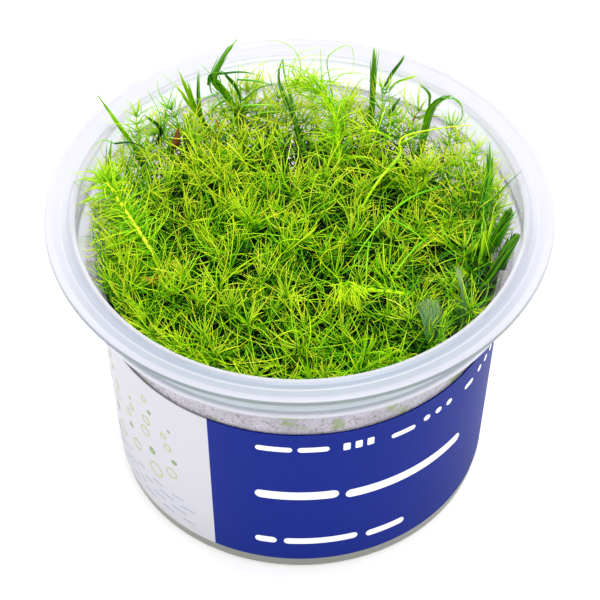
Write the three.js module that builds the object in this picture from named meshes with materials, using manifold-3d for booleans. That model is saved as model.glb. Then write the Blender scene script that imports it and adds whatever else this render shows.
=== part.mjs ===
// A clear plastic propagation cup of Bacopa myriophylloides, a fine-leaved aquarium plant.
//
// The cup holds a slab of culture gel, a few dozen plantlets rooted in it, and a printed
// film band is wrapped round its wall. Lengths are in millimetres, +Z is up, and the
// origin is the middle of the cup's underside. The photographed side faces -Y.
import * as THREE from 'three';
import { mergeVertices } from 'three/addons/utils/BufferGeometryUtils.js';
import Module from 'manifold-3d';

const wasm = await Module();
wasm.setup();

// Driving dimensions of the cup
const FLANGE_DIAMETER = 100;
const OPENING_DIAMETER = 88.4;
const BASE_DIAMETER = 75;
const CUP_HEIGHT = 65.6;
const WALL = 0.9;
const FLOOR = 1.2;
const WALL_SLOPE = 0.0716;
const BASE_CHAMFER = 0.9;
const SHOULDER_HEIGHT = 53.6;
const SHOULDER_RISE = 0.6;
const RIDGE_HEIGHT = 56.0;
const RIDGE_PROUD = 0.6;
const RIDGE_LAND = 0.4;
const RIDGE_FILLET = 0.9;
const FLANGE_THICKNESS = 0.8;
const FLANGE_DISH = 0.2;
const FLANGE_FILLET = 0.5;
const LIP_WIDTH = 1.2;
const LIP_DROP = 0.7;
const LIP_CHAMFER = 0.3;
const GROOVE_RADIUS = 47.0;
const GROOVE_HALF_WIDTH = 0.4;
const GROOVE_DEPTH = 0.25;
const MOUTH_BEAD = 0.8;
const CUP_SEGMENTS = 48;

// Driving dimensions of the printed band
const BAND_BOTTOM = 3.3;
const BAND_TOP = 45.6;
const BAND_THICKNESS = 0.25;
const BAND_CLEARANCE = 0.1;
const BAND_SLIT = 1.6;

// Driving dimensions of the gel and of the sockets that hold the stems
const GEL_TOP = 17;
const GEL_CLEARANCE = 0.3;
const GEL_MENISCUS = 0.8;
const SOCKET_DEPTH = 2.5;
const SOCKET_WIDTH = 2.6;
const GEL_EDGE_CHAMFER = 1.2;
const MENISCUS_WIDTH = 2;
const SOCKET_CLEARANCE = 0.4;

// Driving dimensions of the plantlets
const CANOPY_MIDDLE = 63;
const CANOPY_EDGE = 60.5;
const CANOPY_RADIUS = 38;
const ROOTING_RADIUS = 32;
const CANDIDATES = 46;
const LOW_STEM_HEIGHT = 40;
const LOW_STEM_SPREAD = 0.94;
const BOW_HEIGHT = 51;
const PLACE_SCATTER = 0.7;
const HEIGHT_SCATTER = 1.5;
const STEM_SIDES = 6;
const STEM_RADIUS = 0.85;
const STEM_SAMPLES = 24;
const LEAF_REACH = 9;
const LEAF_SCATTER = 0.15;
const LEAF_SEAT = 0.35;
const LEAST_LEAF = 0.8;
const STEM_SPACING = 4.6;
const CUT_STEP = 1.5;
const LEAST_HEIGHT = 52;
const LEAN_OUT = 0.55;
const PLANT_GAP = 0.3;
const WALL_GAP = 0.5;

// Colours of the pieces
const MILKY_PLASTIC = 0xe6eaf2;
const PRINTED_FILM = 0x283c94;
const CULTURE_GEL = 0xb9bca8;
const FRESH_GREEN = 0x8fc414;
const DARK_GREEN = 0x2f6a16;
const YELLOW_GREEN = 0xbfd02c;

const outerRadius = (height) => BASE_DIAMETER / 2 + WALL_SLOPE * height;

// The radius that the plants may fill at a height: it widens gently above the shoulder and
// again above the flange, so that no leaf cuts a corner of the wall
function insideRadius(height) {
  const aboveShoulder = Math.max(0, height - RIDGE_HEIGHT - SHOULDER_RISE);
  const aboveFlange = Math.max(0, height - CUP_HEIGHT - 2 * PLANT_GAP);
  const body = outerRadius(Math.min(height, SHOULDER_HEIGHT)) - WALL;
  return Math.min(body + aboveShoulder * LEAN_OUT, OPENING_DIAMETER / 2 + aboveFlange * LEAN_OUT);
}

// Turns a profile of [radius, height] pairs about the Z axis
function lathe(profile, segments) {
  const points = profile.map(([radius, height]) => new THREE.Vector2(radius, height));
  return new THREE.LatheGeometry(points, segments).rotateX(Math.PI / 2);
}

function toManifold(geometry) {
  const bare = geometry.clone();
  bare.deleteAttribute('normal');
  bare.deleteAttribute('uv');
  const merged = mergeVertices(bare, 1e-4);
  const vertProperties = new Float32Array(merged.attributes.position.array);
  const triVerts = new Uint32Array(merged.index.array);
  return new wasm.Manifold(new wasm.Mesh({ numProp: 3, vertProperties, triVerts }));
}

function toGeometry(solid) {
  const { vertProperties, triVerts } = solid.getMesh();
  const geometry = new THREE.BufferGeometry();
  geometry.setAttribute('position', new THREE.BufferAttribute(vertProperties, 3));
  geometry.setIndex(new THREE.BufferAttribute(triVerts, 1));
  return geometry;
}

function named(name, geometry, color, roughness) {
  geometry.computeVertexNormals();
  const material = new THREE.MeshStandardMaterial({ color, roughness, metalness: 0 });
  const mesh = new THREE.Mesh(geometry, material);
  mesh.name = name;
  return mesh;
}

// The cup is one thin moulded wall: a tapered body, a shoulder with a ridge, an upright
// collar, and a flat flange with a groove and a raised outer lip.
function cup() {
  const foot = BASE_DIAMETER / 2;
  const bodyTop = outerRadius(SHOULDER_HEIGHT);
  const opening = OPENING_DIAMETER / 2;
  const collar = opening + WALL;
  const rim = FLANGE_DIAMETER / 2;
  const under = CUP_HEIGHT - FLANGE_THICKNESS;
  const deck = CUP_HEIGHT - FLANGE_DISH;
  return lathe([
    [0, 0],
    [foot - BASE_CHAMFER, 0],
    [foot, BASE_CHAMFER],
    [bodyTop, SHOULDER_HEIGHT],
    [collar - LIP_CHAMFER, RIDGE_HEIGHT - RIDGE_FILLET],
    [collar + RIDGE_PROUD, RIDGE_HEIGHT - RIDGE_LAND],
    [collar + RIDGE_PROUD, RIDGE_HEIGHT + RIDGE_LAND],
    [collar, RIDGE_HEIGHT + RIDGE_FILLET],
    [collar, under - FLANGE_FILLET],
    [collar + FLANGE_FILLET, under],
    [rim - LIP_WIDTH, under],
    [rim - LIP_DROP, under - LIP_DROP],
    [rim, under - LIP_DROP],
    [rim, CUP_HEIGHT - LIP_CHAMFER],
    [rim - LIP_WIDTH / 2, CUP_HEIGHT],
    [rim - LIP_WIDTH - GROOVE_HALF_WIDTH, deck],
    [GROOVE_RADIUS + GROOVE_HALF_WIDTH, deck],
    [GROOVE_RADIUS, deck - GROOVE_DEPTH],
    [GROOVE_RADIUS - GROOVE_HALF_WIDTH, deck],
    [opening + MOUTH_BEAD, deck],
    [opening, deck - GROOVE_HALF_WIDTH],
    [opening, RIDGE_HEIGHT + SHOULDER_RISE],
    [bodyTop - WALL, SHOULDER_HEIGHT + SHOULDER_RISE],
    [foot - WALL, FLOOR + BASE_CHAMFER],
    [foot - WALL - BASE_CHAMFER, FLOOR],
    [0, FLOOR],
  ], CUP_SEGMENTS);
}

// The band follows the taper of the wall and is open at a narrow slit behind
function band() {
  const inner = (height) => outerRadius(height) + BAND_CLEARANCE;
  const outer = (height) => inner(height) + BAND_THICKNESS;
  const ring = toManifold(lathe([
    [inner(BAND_BOTTOM), BAND_BOTTOM],
    [outer(BAND_BOTTOM), BAND_BOTTOM],
    [outer(BAND_TOP), BAND_TOP],
    [inner(BAND_TOP), BAND_TOP],
    [inner(BAND_BOTTOM), BAND_BOTTOM],
  ], CUP_SEGMENTS));
  const slit = new THREE.BoxGeometry(BAND_SLIT, 20, 2 * CUP_HEIGHT);
  slit.translate(0, outerRadius(BAND_TOP), 0);
  return toGeometry(ring.subtract(toManifold(slit)));
}

// The gel fills the bottom of the cup and has one socket for each stem
function gel(feet) {
  const edge = (height) => outerRadius(height) - WALL - GEL_CLEARANCE;
  const bottom = FLOOR + GEL_CLEARANCE;
  let slab = toManifold(lathe([
    [0, bottom],
    [edge(bottom) - GEL_EDGE_CHAMFER, bottom],
    [edge(bottom + GEL_EDGE_CHAMFER), bottom + GEL_EDGE_CHAMFER],
    [edge(GEL_TOP + GEL_MENISCUS), GEL_TOP + GEL_MENISCUS],
    [edge(GEL_TOP) - MENISCUS_WIDTH, GEL_TOP],
    [0, GEL_TOP],
  ], CUP_SEGMENTS));
  for (const foot of feet) {
    const socket = new THREE.BoxGeometry(SOCKET_WIDTH, SOCKET_WIDTH, 2 * SOCKET_DEPTH);
    socket.translate(foot.x, foot.y, GEL_TOP);
    slab = slab.subtract(toManifold(socket));
  }
  return toGeometry(slab);
}

// A repeatable value from -1 to 1 for a plantlet and a purpose
function scatter(seed, purpose) {
  const value = Math.sin(seed * 12.9898 + purpose * 78.233) * 43758.5453;
  return (value - Math.floor(value)) * 2 - 1;
}

// The height of the leaf canopy: a low dome with soft hummocks
function canopyHeight(x, y) {
  const edge = Math.min(1, Math.hypot(x, y) / CANOPY_RADIUS);
  const dome = CANOPY_MIDDLE + (CANOPY_EDGE - CANOPY_MIDDLE) * edge * edge;
  return dome + 1.2 * Math.sin(x / 7 + 1) * Math.cos(y / 8);
}

// Plantlets that stand out from the canopy, each with its stem's way from low in the cup
// to its tip. A kind of brush has its top leaves stuck together in one twisted point, a
// bare one has lost its leaves, and a leafy one keeps its whorls up to the tip.
const OUTSTANDING = [
  { name: 'knotted_brush_shoot', kind: 'brush', way: [[-12, 31, 50], [-12.6, 33.2, 58],
    [-15, 33.5, 65], [-17.2, 33.2, 69.6], [-15.4, 35.6, 73], [-11.9, 38.4, 76.5]] },
  { name: 'back_brush_shoot', kind: 'brush', way: [[0.4, 23.5, 50], [0, 26.5, 58],
    [-1.6, 31, 65], [-3, 34.8, 70], [-3.2, 35.6, 73]] },
  { name: 'blunt_brush_shoot', kind: 'brush', way: [[14, 31.5, 50], [15, 35.8, 60],
    [15.2, 38.2, 66], [15.4, 39.6, 72.4]] },
  { name: 'hooked_brush_shoot', kind: 'brush', way: [[24, 25, 50], [25.4, 27.5, 59],
    [27.2, 29.4, 65.5], [31, 29.4, 68.3]] },
  { name: 'right_brush_shoot', kind: 'brush', way: [[33.5, 2, 50], [36, 4, 59],
    [37.4, 8.5, 65], [37.7, 14, 70.4]] },
  { name: 'right_rim_brush_shoot', kind: 'brush', way: [[34, -5, 50], [37.2, -4.6, 58],
    [39.4, -3, 63], [41.5, -1.2, 67.4]] },
  { name: 'front_rim_brush_shoot', kind: 'brush', way: [[33, -14, 50], [36, -13, 57],
    [39, -10.6, 62], [42, -8, 67]] },
  { name: 'right_lying_brush_shoot', kind: 'brush', way: [[29, -22.5, 50], [31, -22, 58],
    [31, -18, 62.5], [30.8, -14, 64.5]] },
  { name: 'front_lying_brush_shoot', kind: 'brush', way: [[24, -31, 50], [26.5, -29.5, 58],
    [26, -26, 62.5], [24.8, -22, 64.5]] },
  { name: 'left_rim_brush_shoot', kind: 'brush', way: [[-34, 12, 50], [-37, 12.8, 59],
    [-38, 14.4, 63.5], [-37.2, 17, 68.5]] },
  { name: 'left_tall_shoot', kind: 'slender', way: [[-30.5, 21, 50], [-33.2, 22.4, 60],
    [-36.6, 23.2, 67], [-40.4, 24, 74.5]] },
  { name: 'plume_shoot', kind: 'plume', way: [[-24.4, -10, 50], [-25.6, -10.6, 57],
    [-30, -5, 61.6], [-34.2, 1.6, 63.8], [-38.8, 8.4, 66.4]], leafShare: 0.85 },
  { name: 'curled_shoot', kind: 'plume', way: [[8, 15, 50], [7.9, 17.8, 61],
    [7, 23.4, 69], [4, 27, 71.6], [-0.6, 30.6, 70.4]], leafShare: 0.7 },
  { name: 'long_bare_stem', kind: 'bare', way: [[10, 1.4, 50], [11.6, 3.4, 60],
    [15.6, 8.2, 65], [20, 13.6, 67], [20.2, 17.4, 67.6], [27, 19.2, 68.6], [35, 20, 69]] },
  { name: 'lying_shoot', kind: 'plume', way: [[22.5, -15, 50], [22.4, -17.6, 58],
    [20, -20.4, 63], [14, -21.2, 65], [8, -21.2, 66]], leafShare: 0.55 },
];

// Stations along a stem, from 0 at its foot to 1 at its tip: the radius of the leaf mass
// there, and how far the whorl above it reaches as a share of a full leaf. The last one
// is the tip itself.
const BARE_FOOT = [[0, STEM_RADIUS, 0], [0.13, STEM_RADIUS, 0]];
const STATIONS = {
  leafy: [...BARE_FOOT, [0.5, 2.2, 0], [0.61, 3.3, 1], [0.72, 3.5, 1], [0.83, 3.1, 1],
    [0.93, 1.9, 1], [1, 0, 0]],
  brush: [...BARE_FOOT, [0.48, 2.4, 0], [0.6, 3.4, 0.9], [0.7, 2.8, 0.8], [0.8, 1.4, 0],
    [0.88, 1.6, 0], [0.95, 0.8, 0], [1, 0, 0]],
  slender: [...BARE_FOOT, [0.48, 2.4, 0], [0.6, 3.2, 0.8], [0.7, 2, 0], [0.82, 0.8, 0],
    [0.92, 0.5, 0], [1, 0, 0]],
  plume: [...BARE_FOOT, [0.5, 1.4, 0.6], [0.6, 1.8, 1], [0.68, 1.9, 1], [0.76, 1.9, 1],
    [0.84, 1.9, 1], [0.92, 1.7, 1], [1, 0, 0]],
  bare: [...BARE_FOOT, [0.4, 1.4, 0], [0.47, 0.6, 0], [0.55, 0.45, 0], [0.63, 0.45, 0],
    [0.7, 0.5, 0], [0.77, 0.4, 0], [0.88, 0.4, 0], [1, 0, 0]],
};
const WHORL_RISE = { leafy: 0.5, brush: 0.9, slender: 0.9, plume: 0.55, bare: 0 };
const SHOOT_COLOUR = {
  leafy: FRESH_GREEN, brush: DARK_GREEN, slender: DARK_GREEN,
  plume: YELLOW_GREEN, bare: YELLOW_GREEN,
};

// A stem's way as a curve that starts in its socket in the gel
function wayFrom(points) {
  const [x, y] = points[0];
  const spread = ROOTING_RADIUS / CANOPY_RADIUS;
  const foot = new THREE.Vector3(x * spread, y * spread, GEL_TOP - SOCKET_DEPTH + SOCKET_CLEARANCE);
  const top = points.map((point) => new THREE.Vector3(...point));
  return new THREE.CatmullRomCurve3([foot, ...top]);
}

// Leafy plants laid out on a golden-angle spiral
function spiralPlants() {
  const plants = [];
  const goldenAngle = Math.PI * (3 - Math.sqrt(5));
  for (let seed = 1; seed <= CANDIDATES; seed += 1) {
    const share = Math.sqrt((seed - 0.5) / CANDIDATES);
    const angle = seed * goldenAngle;
    const radius = (CANOPY_RADIUS - 1.5) * share + PLACE_SCATTER * scatter(seed, 1);
    const x = radius * Math.cos(angle);
    const y = radius * Math.sin(angle);
    const height = canopyHeight(x, y) + HEIGHT_SCATTER * scatter(seed, 2);
    const low = [LOW_STEM_SPREAD * x, LOW_STEM_SPREAD * y, LOW_STEM_HEIGHT];
    const bow = [x + scatter(seed, 3), y + scatter(seed, 4), BOW_HEIGHT];
    plants.push({ kind: 'leafy', way: [low, bow, [x, y, height]] });
  }
  return plants;
}

const NO_LIFT = new THREE.Vector3();

// The least distance from a point to a sampled way
function distanceTo(point, samples) {
  const nearest = new THREE.Vector3();
  const line = new THREE.Line3();
  let least = Infinity;
  for (let i = 1; i < samples.length; i += 1) {
    line.set(samples[i - 1], samples[i]);
    line.closestPointToPoint(point, true, nearest);
    least = Math.min(least, nearest.distanceTo(point));
  }
  return least;
}

// A plant with its stem's curve, and with no point of the stem above a height
function rooted(plant, highest) {
  const curve = wayFrom(plant.way.map(([x, y, z]) => [x, y, Math.min(z, highest)]));
  return { ...plant, curve, samples: curve.getSpacedPoints(STEM_SAMPLES) };
}

// Adds the spiral plants one by one. Where a plant's tip would meet a neighbour's stem it
// is cut down step by step, and a plant that would stay too short is left out.
function plantAll(outstanding, spiral) {
  const kept = outstanding.map((plant) => rooted(plant, Infinity));
  for (const plant of spiral) {
    for (let highest = plant.way.at(-1)[2]; highest > LEAST_HEIGHT; highest -= CUT_STEP) {
      const grown = rooted(plant, highest);
      const crowded = kept.some((other) => grown.samples
        .some((point) => distanceTo(point, other.samples) < STEM_SPACING));
      if (!crowded) {
        kept.push(grown);
        break;
      }
    }
  }
  return kept;
}

// The point beside a stem that goes as far out as wished while it stays nearer to this
// stem than to any other and inside the cup. It rises by the whole lift all the same.
function reachOut(plant, plants, centre, outward, wished, lift) {
  const foot = centre.clone().add(lift);
  const point = new THREE.Vector3();
  for (let share = 1; share > 0; share -= 0.08) {
    point.copy(foot).addScaledVector(outward, wished * share);
    const own = distanceTo(point, plant.samples);
    const inCup = Math.hypot(point.x, point.y) < insideRadius(point.z) - WALL_GAP;
    const clear = plants.every((other) => other === plant
      || distanceTo(point, other.samples) > own + PLANT_GAP);
    if (inCup && clear) {
      return { point: point.clone(), distance: wished * share };
    }
  }
  return { point: centre.clone(), distance: 0 };
}

// A plantlet as one closed solid: a stem that swells into its leaf mass, with a ring of
// pointed whorl leaves on each leafy station and a pointed tip
function plantSolid(plant, plants, seed) {
  const stations = STATIONS[plant.kind];
  const rise = WHORL_RISE[plant.kind];
  const vertices = [];
  const triangles = [];
  const add = (point) => vertices.push(point.x, point.y, point.z) / 3 - 1;
  const side = new THREE.Vector3(Math.cos(seed), Math.sin(seed), 0);
  const across = new THREE.Vector3();
  const step = (2 * Math.PI) / STEM_SIDES;
  const rings = stations.slice(0, -1).map(([at, radius, leaf], level) => {
    const centre = plant.curve.getPointAt(at);
    const along = plant.curve.getTangentAt(at);
    side.addScaledVector(along, -side.dot(along)).normalize();
    across.crossVectors(along, side);
    const corners = [];
    const outward = [];
    for (let corner = 0; corner < STEM_SIDES; corner += 1) {
      const angle = (corner + (level % 2) / 2) * step;
      const away = side.clone().multiplyScalar(Math.cos(angle));
      away.addScaledVector(across, Math.sin(angle));
      corners.push(add(reachOut(plant, plants, centre, away, radius, NO_LIFT).point));
      const between = side.clone().multiplyScalar(Math.cos(angle + step / 2));
      outward.push(between.addScaledVector(across, Math.sin(angle + step / 2)));
    }
    return { centre, along: along.clone(), radius, leaf, corners, outward };
  });
  const foot = add(rings[0].centre);
  for (let corner = 0; corner < STEM_SIDES; corner += 1) {
    const next = (corner + 1) % STEM_SIDES;
    triangles.push(foot, rings[0].corners[next], rings[0].corners[corner]);
  }
  for (let level = 1; level < rings.length; level += 1) {
    const low = rings[level - 1];
    const high = rings[level];
    const shift = (level - 1) % 2;
    for (let corner = 0; corner < STEM_SIDES; corner += 1) {
      const next = (corner + 1) % STEM_SIDES;
      const above = high.corners[(corner + shift) % STEM_SIDES];
      const aboveNext = high.corners[(corner + shift + 1) % STEM_SIDES];
      const left = low.corners[corner];
      const right = low.corners[next];
      triangles.push(above, right, aboveNext);
      const middle = low.centre.clone().lerp(high.centre, LEAF_SEAT);
      const spread = 1 + LEAF_SCATTER * scatter(seed + corner, level);
      const reach = LEAF_REACH * low.leaf * (plant.leafShare ?? 1) * spread;
      const lift = low.along.clone().multiplyScalar(reach * rise);
      const leaf = reachOut(plant, plants, middle, low.outward[corner], reach, lift);
      if (low.leaf > 0 && leaf.distance > low.radius + LEAST_LEAF) {
        const tip = add(leaf.point);
        triangles.push(left, right, tip, right, above, tip, above, left, tip);
      } else {
        triangles.push(left, right, above);
      }
    }
  }
  const crown = rings.at(-1);
  const tip = add(plant.curve.getPointAt(1));
  for (let corner = 0; corner < STEM_SIDES; corner += 1) {
    const next = (corner + 1) % STEM_SIDES;
    triangles.push(crown.corners[corner], crown.corners[next], tip);
  }
  const geometry = new THREE.BufferGeometry();
  const positions = new Float32Array(vertices);
  geometry.setAttribute('position', new THREE.BufferAttribute(positions, 3));
  geometry.setIndex(triangles);
  return geometry;
}

const pottedPlant = new THREE.Group();
const plants = plantAll(OUTSTANDING, spiralPlants());
const feet = plants.map((plant) => plant.curve.getPointAt(0));

pottedPlant.add(named('cup', cup(), MILKY_PLASTIC, 0.35));
pottedPlant.add(named('label_band', band(), PRINTED_FILM, 0.4));
pottedPlant.add(named('culture_gel', gel(feet), CULTURE_GEL, 0.25));

let spiralCount = 0;
plants.forEach((plant, index) => {
  let name = plant.name;
  if (!name) {
    spiralCount += 1;
    name = `leafy_shoot_${String(spiralCount).padStart(2, '0')}`;
  }
  const solid = plantSolid(plant, plants, index + 1);
  pottedPlant.add(named(name, solid, SHOOT_COLOUR[plant.kind], 0.5));
});

export default pottedPlant;
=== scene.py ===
"""The looks of a cup of fine-leaved aquarium plants, built around its packed frame.

The cup, its printed film, the gel and every plantlet are modelled here in place of their
plain solids. Lengths are metres, +Z is up and the printed side faces -Y.
"""
import math
from collections import namedtuple

import bmesh
import bpy
import numpy as np
from bpy.props import FloatProperty, FloatVectorProperty, IntProperty, PointerProperty
from mathutils import Matrix, Vector


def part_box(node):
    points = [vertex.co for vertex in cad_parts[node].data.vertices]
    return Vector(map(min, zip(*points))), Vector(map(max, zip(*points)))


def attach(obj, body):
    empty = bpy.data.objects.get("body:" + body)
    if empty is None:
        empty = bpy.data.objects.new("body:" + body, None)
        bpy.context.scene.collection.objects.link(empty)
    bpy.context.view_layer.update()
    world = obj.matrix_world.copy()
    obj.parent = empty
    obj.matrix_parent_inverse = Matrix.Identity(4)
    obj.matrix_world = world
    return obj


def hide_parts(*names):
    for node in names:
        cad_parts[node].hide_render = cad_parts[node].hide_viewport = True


bl_info = {
    "name": "Potted Aquarium Plant",
    "version": (1, 0, 0),
    "blender": (4, 5, 0),
    "location": "3D View > Sidebar > Potted Plant",
    "description": "Models a cup of fine-leaved aquarium plantlets around its packed frame",
    "category": "Object",
}

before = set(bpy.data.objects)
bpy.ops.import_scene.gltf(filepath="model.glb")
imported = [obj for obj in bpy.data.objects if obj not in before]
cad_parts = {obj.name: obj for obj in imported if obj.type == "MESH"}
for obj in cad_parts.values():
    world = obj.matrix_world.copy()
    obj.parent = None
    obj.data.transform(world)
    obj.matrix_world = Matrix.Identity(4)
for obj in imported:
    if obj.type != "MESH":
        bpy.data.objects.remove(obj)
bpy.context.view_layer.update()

MM = 0.001
BODY = "root"

# Where the film's blue panel begins and ends, as angles from the front, and how much its edges
# lean for each unit of height
PANEL_LEFT = math.radians(-27.3)
PANEL_RIGHT = math.radians(152)
PANEL_LEAN = math.radians(0.7) / (41 * MM)

# The map that every leaf carries. Its first axis holds the tones of living leaves up to LIVING,
# then rust and brown, and from GLAZED on those of leaves under water. A leaf takes up a strip of
# TONE_WIDTH, and the second axis runs from its base to its tip.
LEAF_MAP = "OFBake"
LIVING = 0.8
GLAZED = 0.96
TONE_WIDTH = 0.01


def linear(code):
    """An sRGB hex colour as linear red, green, blue and alpha."""
    channels = [int(code[i:i + 2], 16) / 255 for i in (1, 3, 5)]
    curved = [c / 12.92 if c <= 0.04045 else ((c + 0.055) / 1.055) ** 2.4 for c in channels]
    return (*curved, 1.0)


def length(name, default, description):
    """A length setting in metres."""
    return FloatProperty(
        name=name, default=default, description=description, unit="LENGTH", precision=5, min=0
    )


def tint(name, code, description):
    """A colour setting, given as an sRGB hex value."""
    return FloatVectorProperty(
        name=name, default=linear(code), description=description, subtype="COLOR", size=4,
        min=0, max=1
    )


class CupSettings(bpy.types.PropertyGroup):
    """Sizes and colours of the moulded cup"""

    flange: length("Flange diameter", 100 * MM, "Across the outer edge of the flange")
    opening: length("Opening diameter", 88.4 * MM, "Across the mouth")
    base: length("Base diameter", 75 * MM, "Across the underside")
    height: length("Height", 65.6 * MM, "From the underside to the top of the lip")
    wall: length("Wall", 0.9 * MM, "Thickness of the wall")
    slope: FloatProperty(
        name="Wall slope", default=0.058, description="Gain in radius for each unit of height"
    )
    shoulder: length("Shoulder height", 53.6 * MM, "Where the tapered wall meets the shoulder")
    ridge: length("Ridge height", 56.6 * MM, "Middle of the ridge round the shoulder")
    milky: tint("Plastic", "#dad9e1", "The milky plastic of the flange")
    # Inside, the same plastic is lighter than the flange as painted light, for the light that comes
    # in through the wall
    inner: tint("Inner wall", "#fdf8ff", "The milky plastic inside the mouth")
    # The collar's grey-green is painted shade: the shade under the flange and the shaded plants
    # behind the wall
    collar: tint("Collar", "#cfdae1", "The collar, with dark plants behind it")
    crest: tint("Ridge", "#e6e8f4", "The ridge, which catches the light")
    # The misted wall is grey partly from its fine drops and partly as painted shade, under the
    # shoulder and the flange and over the dark inside
    misted_and_shaded: tint("Misted wall", "#ccc7d2", "Wall with fine drops behind it")
    smudged: tint("Smudges", "#8ea552", "Leaves pressed to the wall behind the drops")
    edge: tint("Rim edge", "#8f9c9c", "The flange's thin upright edge, dark with the shade under it")
    shaded: tint("Shaded base", "#a4a69c", "Wall below the film, over the gel")
    steps: IntProperty(
        name="Steps", default=144, min=24, description="Steps of the spin round the cup"
    )


class FilmSettings(bpy.types.PropertyGroup):
    """Sizes and colours of the printed film"""

    bottom: length("Bottom", 3.3 * MM, "Height of the lower edge")
    top: length("Top", 44.9 * MM, "Height of the upper edge")
    clearance: length("Clearance", 0.1 * MM, "Air between the wall and the film")
    thickness: length("Thickness", 0.25 * MM, "Thickness of the film")
    slit: length("Slit", 1.6 * MM, "Width of the open slit behind")
    print_height: length("Print height", 0.03 * MM, "Thickness of the ink")
    blue: tint("Blue panel", "#001e7d", "The blue panel")
    white: tint("White panel", "#c5c4cb", "The white panel")
    pale_ink: tint("Pale ink", "#a9b86a", "Printed rings")
    deep_ink: tint("Deep ink", "#84996a", "Printed dots")
    grey_ink: tint("Grey ink", "#a3acc0", "Printed dashes")


class GelSettings(bpy.types.PropertyGroup):
    """Size and colour of the culture gel"""

    top: length("Top", 17 * MM, "Height of the gel's surface")
    clearance: length("Clearance", 0.3 * MM, "Air between the gel and the cup")
    cloudy: tint("Gel", "#c4c6b2", "The cloudy gel")


class PlantSettings(bpy.types.PropertyGroup):
    """Sizes and colours of the plantlets"""

    needle: length("Needle length", 12.2 * MM, "Length of a full needle leaf")
    needle_radius: length("Needle radius", 0.148 * MM, "Half the width of a needle leaf")
    whorl_gap: length("Whorl spacing", 3.2 * MM, "Distance between whorls on a stem")
    needles: IntProperty(name="Needles", default=8, min=3, description="Needles in a whorl")
    stem_radius: length("Stem radius", 0.5 * MM, "Half the width of a leafy stem")
    # Wet and Deep are also the tones of painted shade that needles sink to deep in the canopy
    wet: tint("Wet", "#051a02", "Darkest wet leaves")
    deep: tint("Deep", "#2a7408", "Deep green leaves")
    green: tint("Green", "#74c606", "Middle green leaves")
    lime: tint("Lime", "#b8f00a", "Lit lime leaves")
    cream: tint("Cream", "#e4f638", "The palest tips and a bare stem")
    straw: tint("Straw", "#e0fa1c", "Yellow tips and young stems")
    rust: tint("Rust", "#d98a2c", "Rusty rosette")
    brown: tint("Brown", "#6e3420", "Dying leaves")
    glaze: tint("Glaze", "#5c8c46", "Limp leaves under water")
    film: tint("Water film", "#8aa97c", "The sheen of the film of water over them")


class StudioSettings(bpy.types.PropertyGroup):
    """The floor, the light and the camera"""

    floor: tint("Floor", "#ffffff", "The plain pale floor")
    world: FloatProperty(name="World light", default=1.0, description="Strength of the white sky")
    glow: FloatProperty(name="Glow", default=0.33, min=0, description="Light from below the floor")
    key: FloatProperty(name="Key light", default=4.4, subtype="POWER", unit="POWER",
                       description="Power of the soft lamp above the cup")
    lens: FloatProperty(name="Lens", default=167.03, description="Focal length in millimetres")


def outer_radius(height):
    """The cup's outer radius on the tapered wall."""
    cup = bpy.context.scene.potted_cup
    return cup.base / 2 + cup.slope * height


# The room for plants in the cup: how far they lean out above the shoulder and above the flange,
# and the air that they keep from the mouth and from the wall
LEAN_OUT = 0.55
LEAN_OVER_FLANGE = 1.6
SHOULDER_RISE = 0.6 * MM
FLANGE_AIR = 0.6 * MM
MOUTH_AIR = 0.2 * MM
WALL_AIR = 0.15 * MM
STRAND_ROOM = 0.4 * MM
TWIG_ROOM = 2 * MM


def inner_taper(heights):
    """The inner radius of the tapered wall, which above the shoulder stays as it is there."""
    cup = bpy.context.scene.potted_cup
    return outer_radius(np.minimum(heights, cup.shoulder)) - cup.wall


def inside_radius(heights):
    """The radius that leaves may reach at each height."""
    cup = bpy.context.scene.potted_cup
    above_shoulder = np.maximum(0, heights - cup.ridge - SHOULDER_RISE)
    above_flange = np.maximum(0, heights - cup.height - FLANGE_AIR)
    return np.minimum(inner_taper(heights) + above_shoulder * LEAN_OUT,
                      cup.opening / 2 - MOUTH_AIR + above_flange * LEAN_OVER_FLANGE)


def wall_radius(heights):
    """The inner radius of the wall: tapered to the shoulder, upright in the collar and without
    limit above the flange."""
    cup = bpy.context.scene.potted_cup
    body = inner_taper(heights)
    widening = np.clip((heights - cup.shoulder - SHOULDER_RISE) / (cup.ridge - cup.shoulder), 0, 1)
    wall = body + widening * (cup.opening / 2 - body)
    return np.where(heights < cup.height, wall, np.inf)


def pressed_in(centres, room):
    """Points drawn in towards the cup's middle where they stand further out than there is room."""
    out = np.hypot(centres[..., 0], centres[..., 1])
    pressed = centres.copy()
    pressed[..., :2] *= np.minimum(1, room / np.maximum(out, 1e-6))[..., None]
    return pressed


def add_node(tree, kind, settings=None, inputs=None):
    """Adds one shader node with its settings, its ramp stops and its inputs or links."""
    node = tree.nodes.new(kind)
    for name, value in (settings or {}).items():
        if name == "stops":
            stops = node.color_ramp.elements
            while len(stops) < len(value):
                stops.new(1.0)
            for stop, (place, shade) in zip(stops, value):
                stop.position = place
                stop.color = shade
        else:
            setattr(node, name, value)
    for name, value in (inputs or {}).items():
        if isinstance(value, bpy.types.NodeSocket):
            tree.links.new(value, node.inputs[name])
        else:
            node.inputs[name].default_value = value
    return node


def new_material(name, finish):
    """A material with one Principled shader whose constants are set on its own sockets."""
    material = bpy.data.materials.new(name)
    material.use_nodes = True
    tree = material.node_tree
    tree.nodes.clear()
    shader = add_node(tree, "ShaderNodeBsdfPrincipled", inputs=finish)
    add_node(tree, "ShaderNodeOutputMaterial", inputs={"Surface": shader.outputs["BSDF"]})
    return material, tree, shader


def grey(value):
    """A neutral linear shade."""
    return (value, value, value, 1.0)


# A mix of colours takes its share in input 0 and the colours in 6 and 7, and gives output 2
MIX = {"data_type": "RGBA"}
MULTIPLY = {"data_type": "RGBA", "blend_type": "MULTIPLY"}

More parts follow.
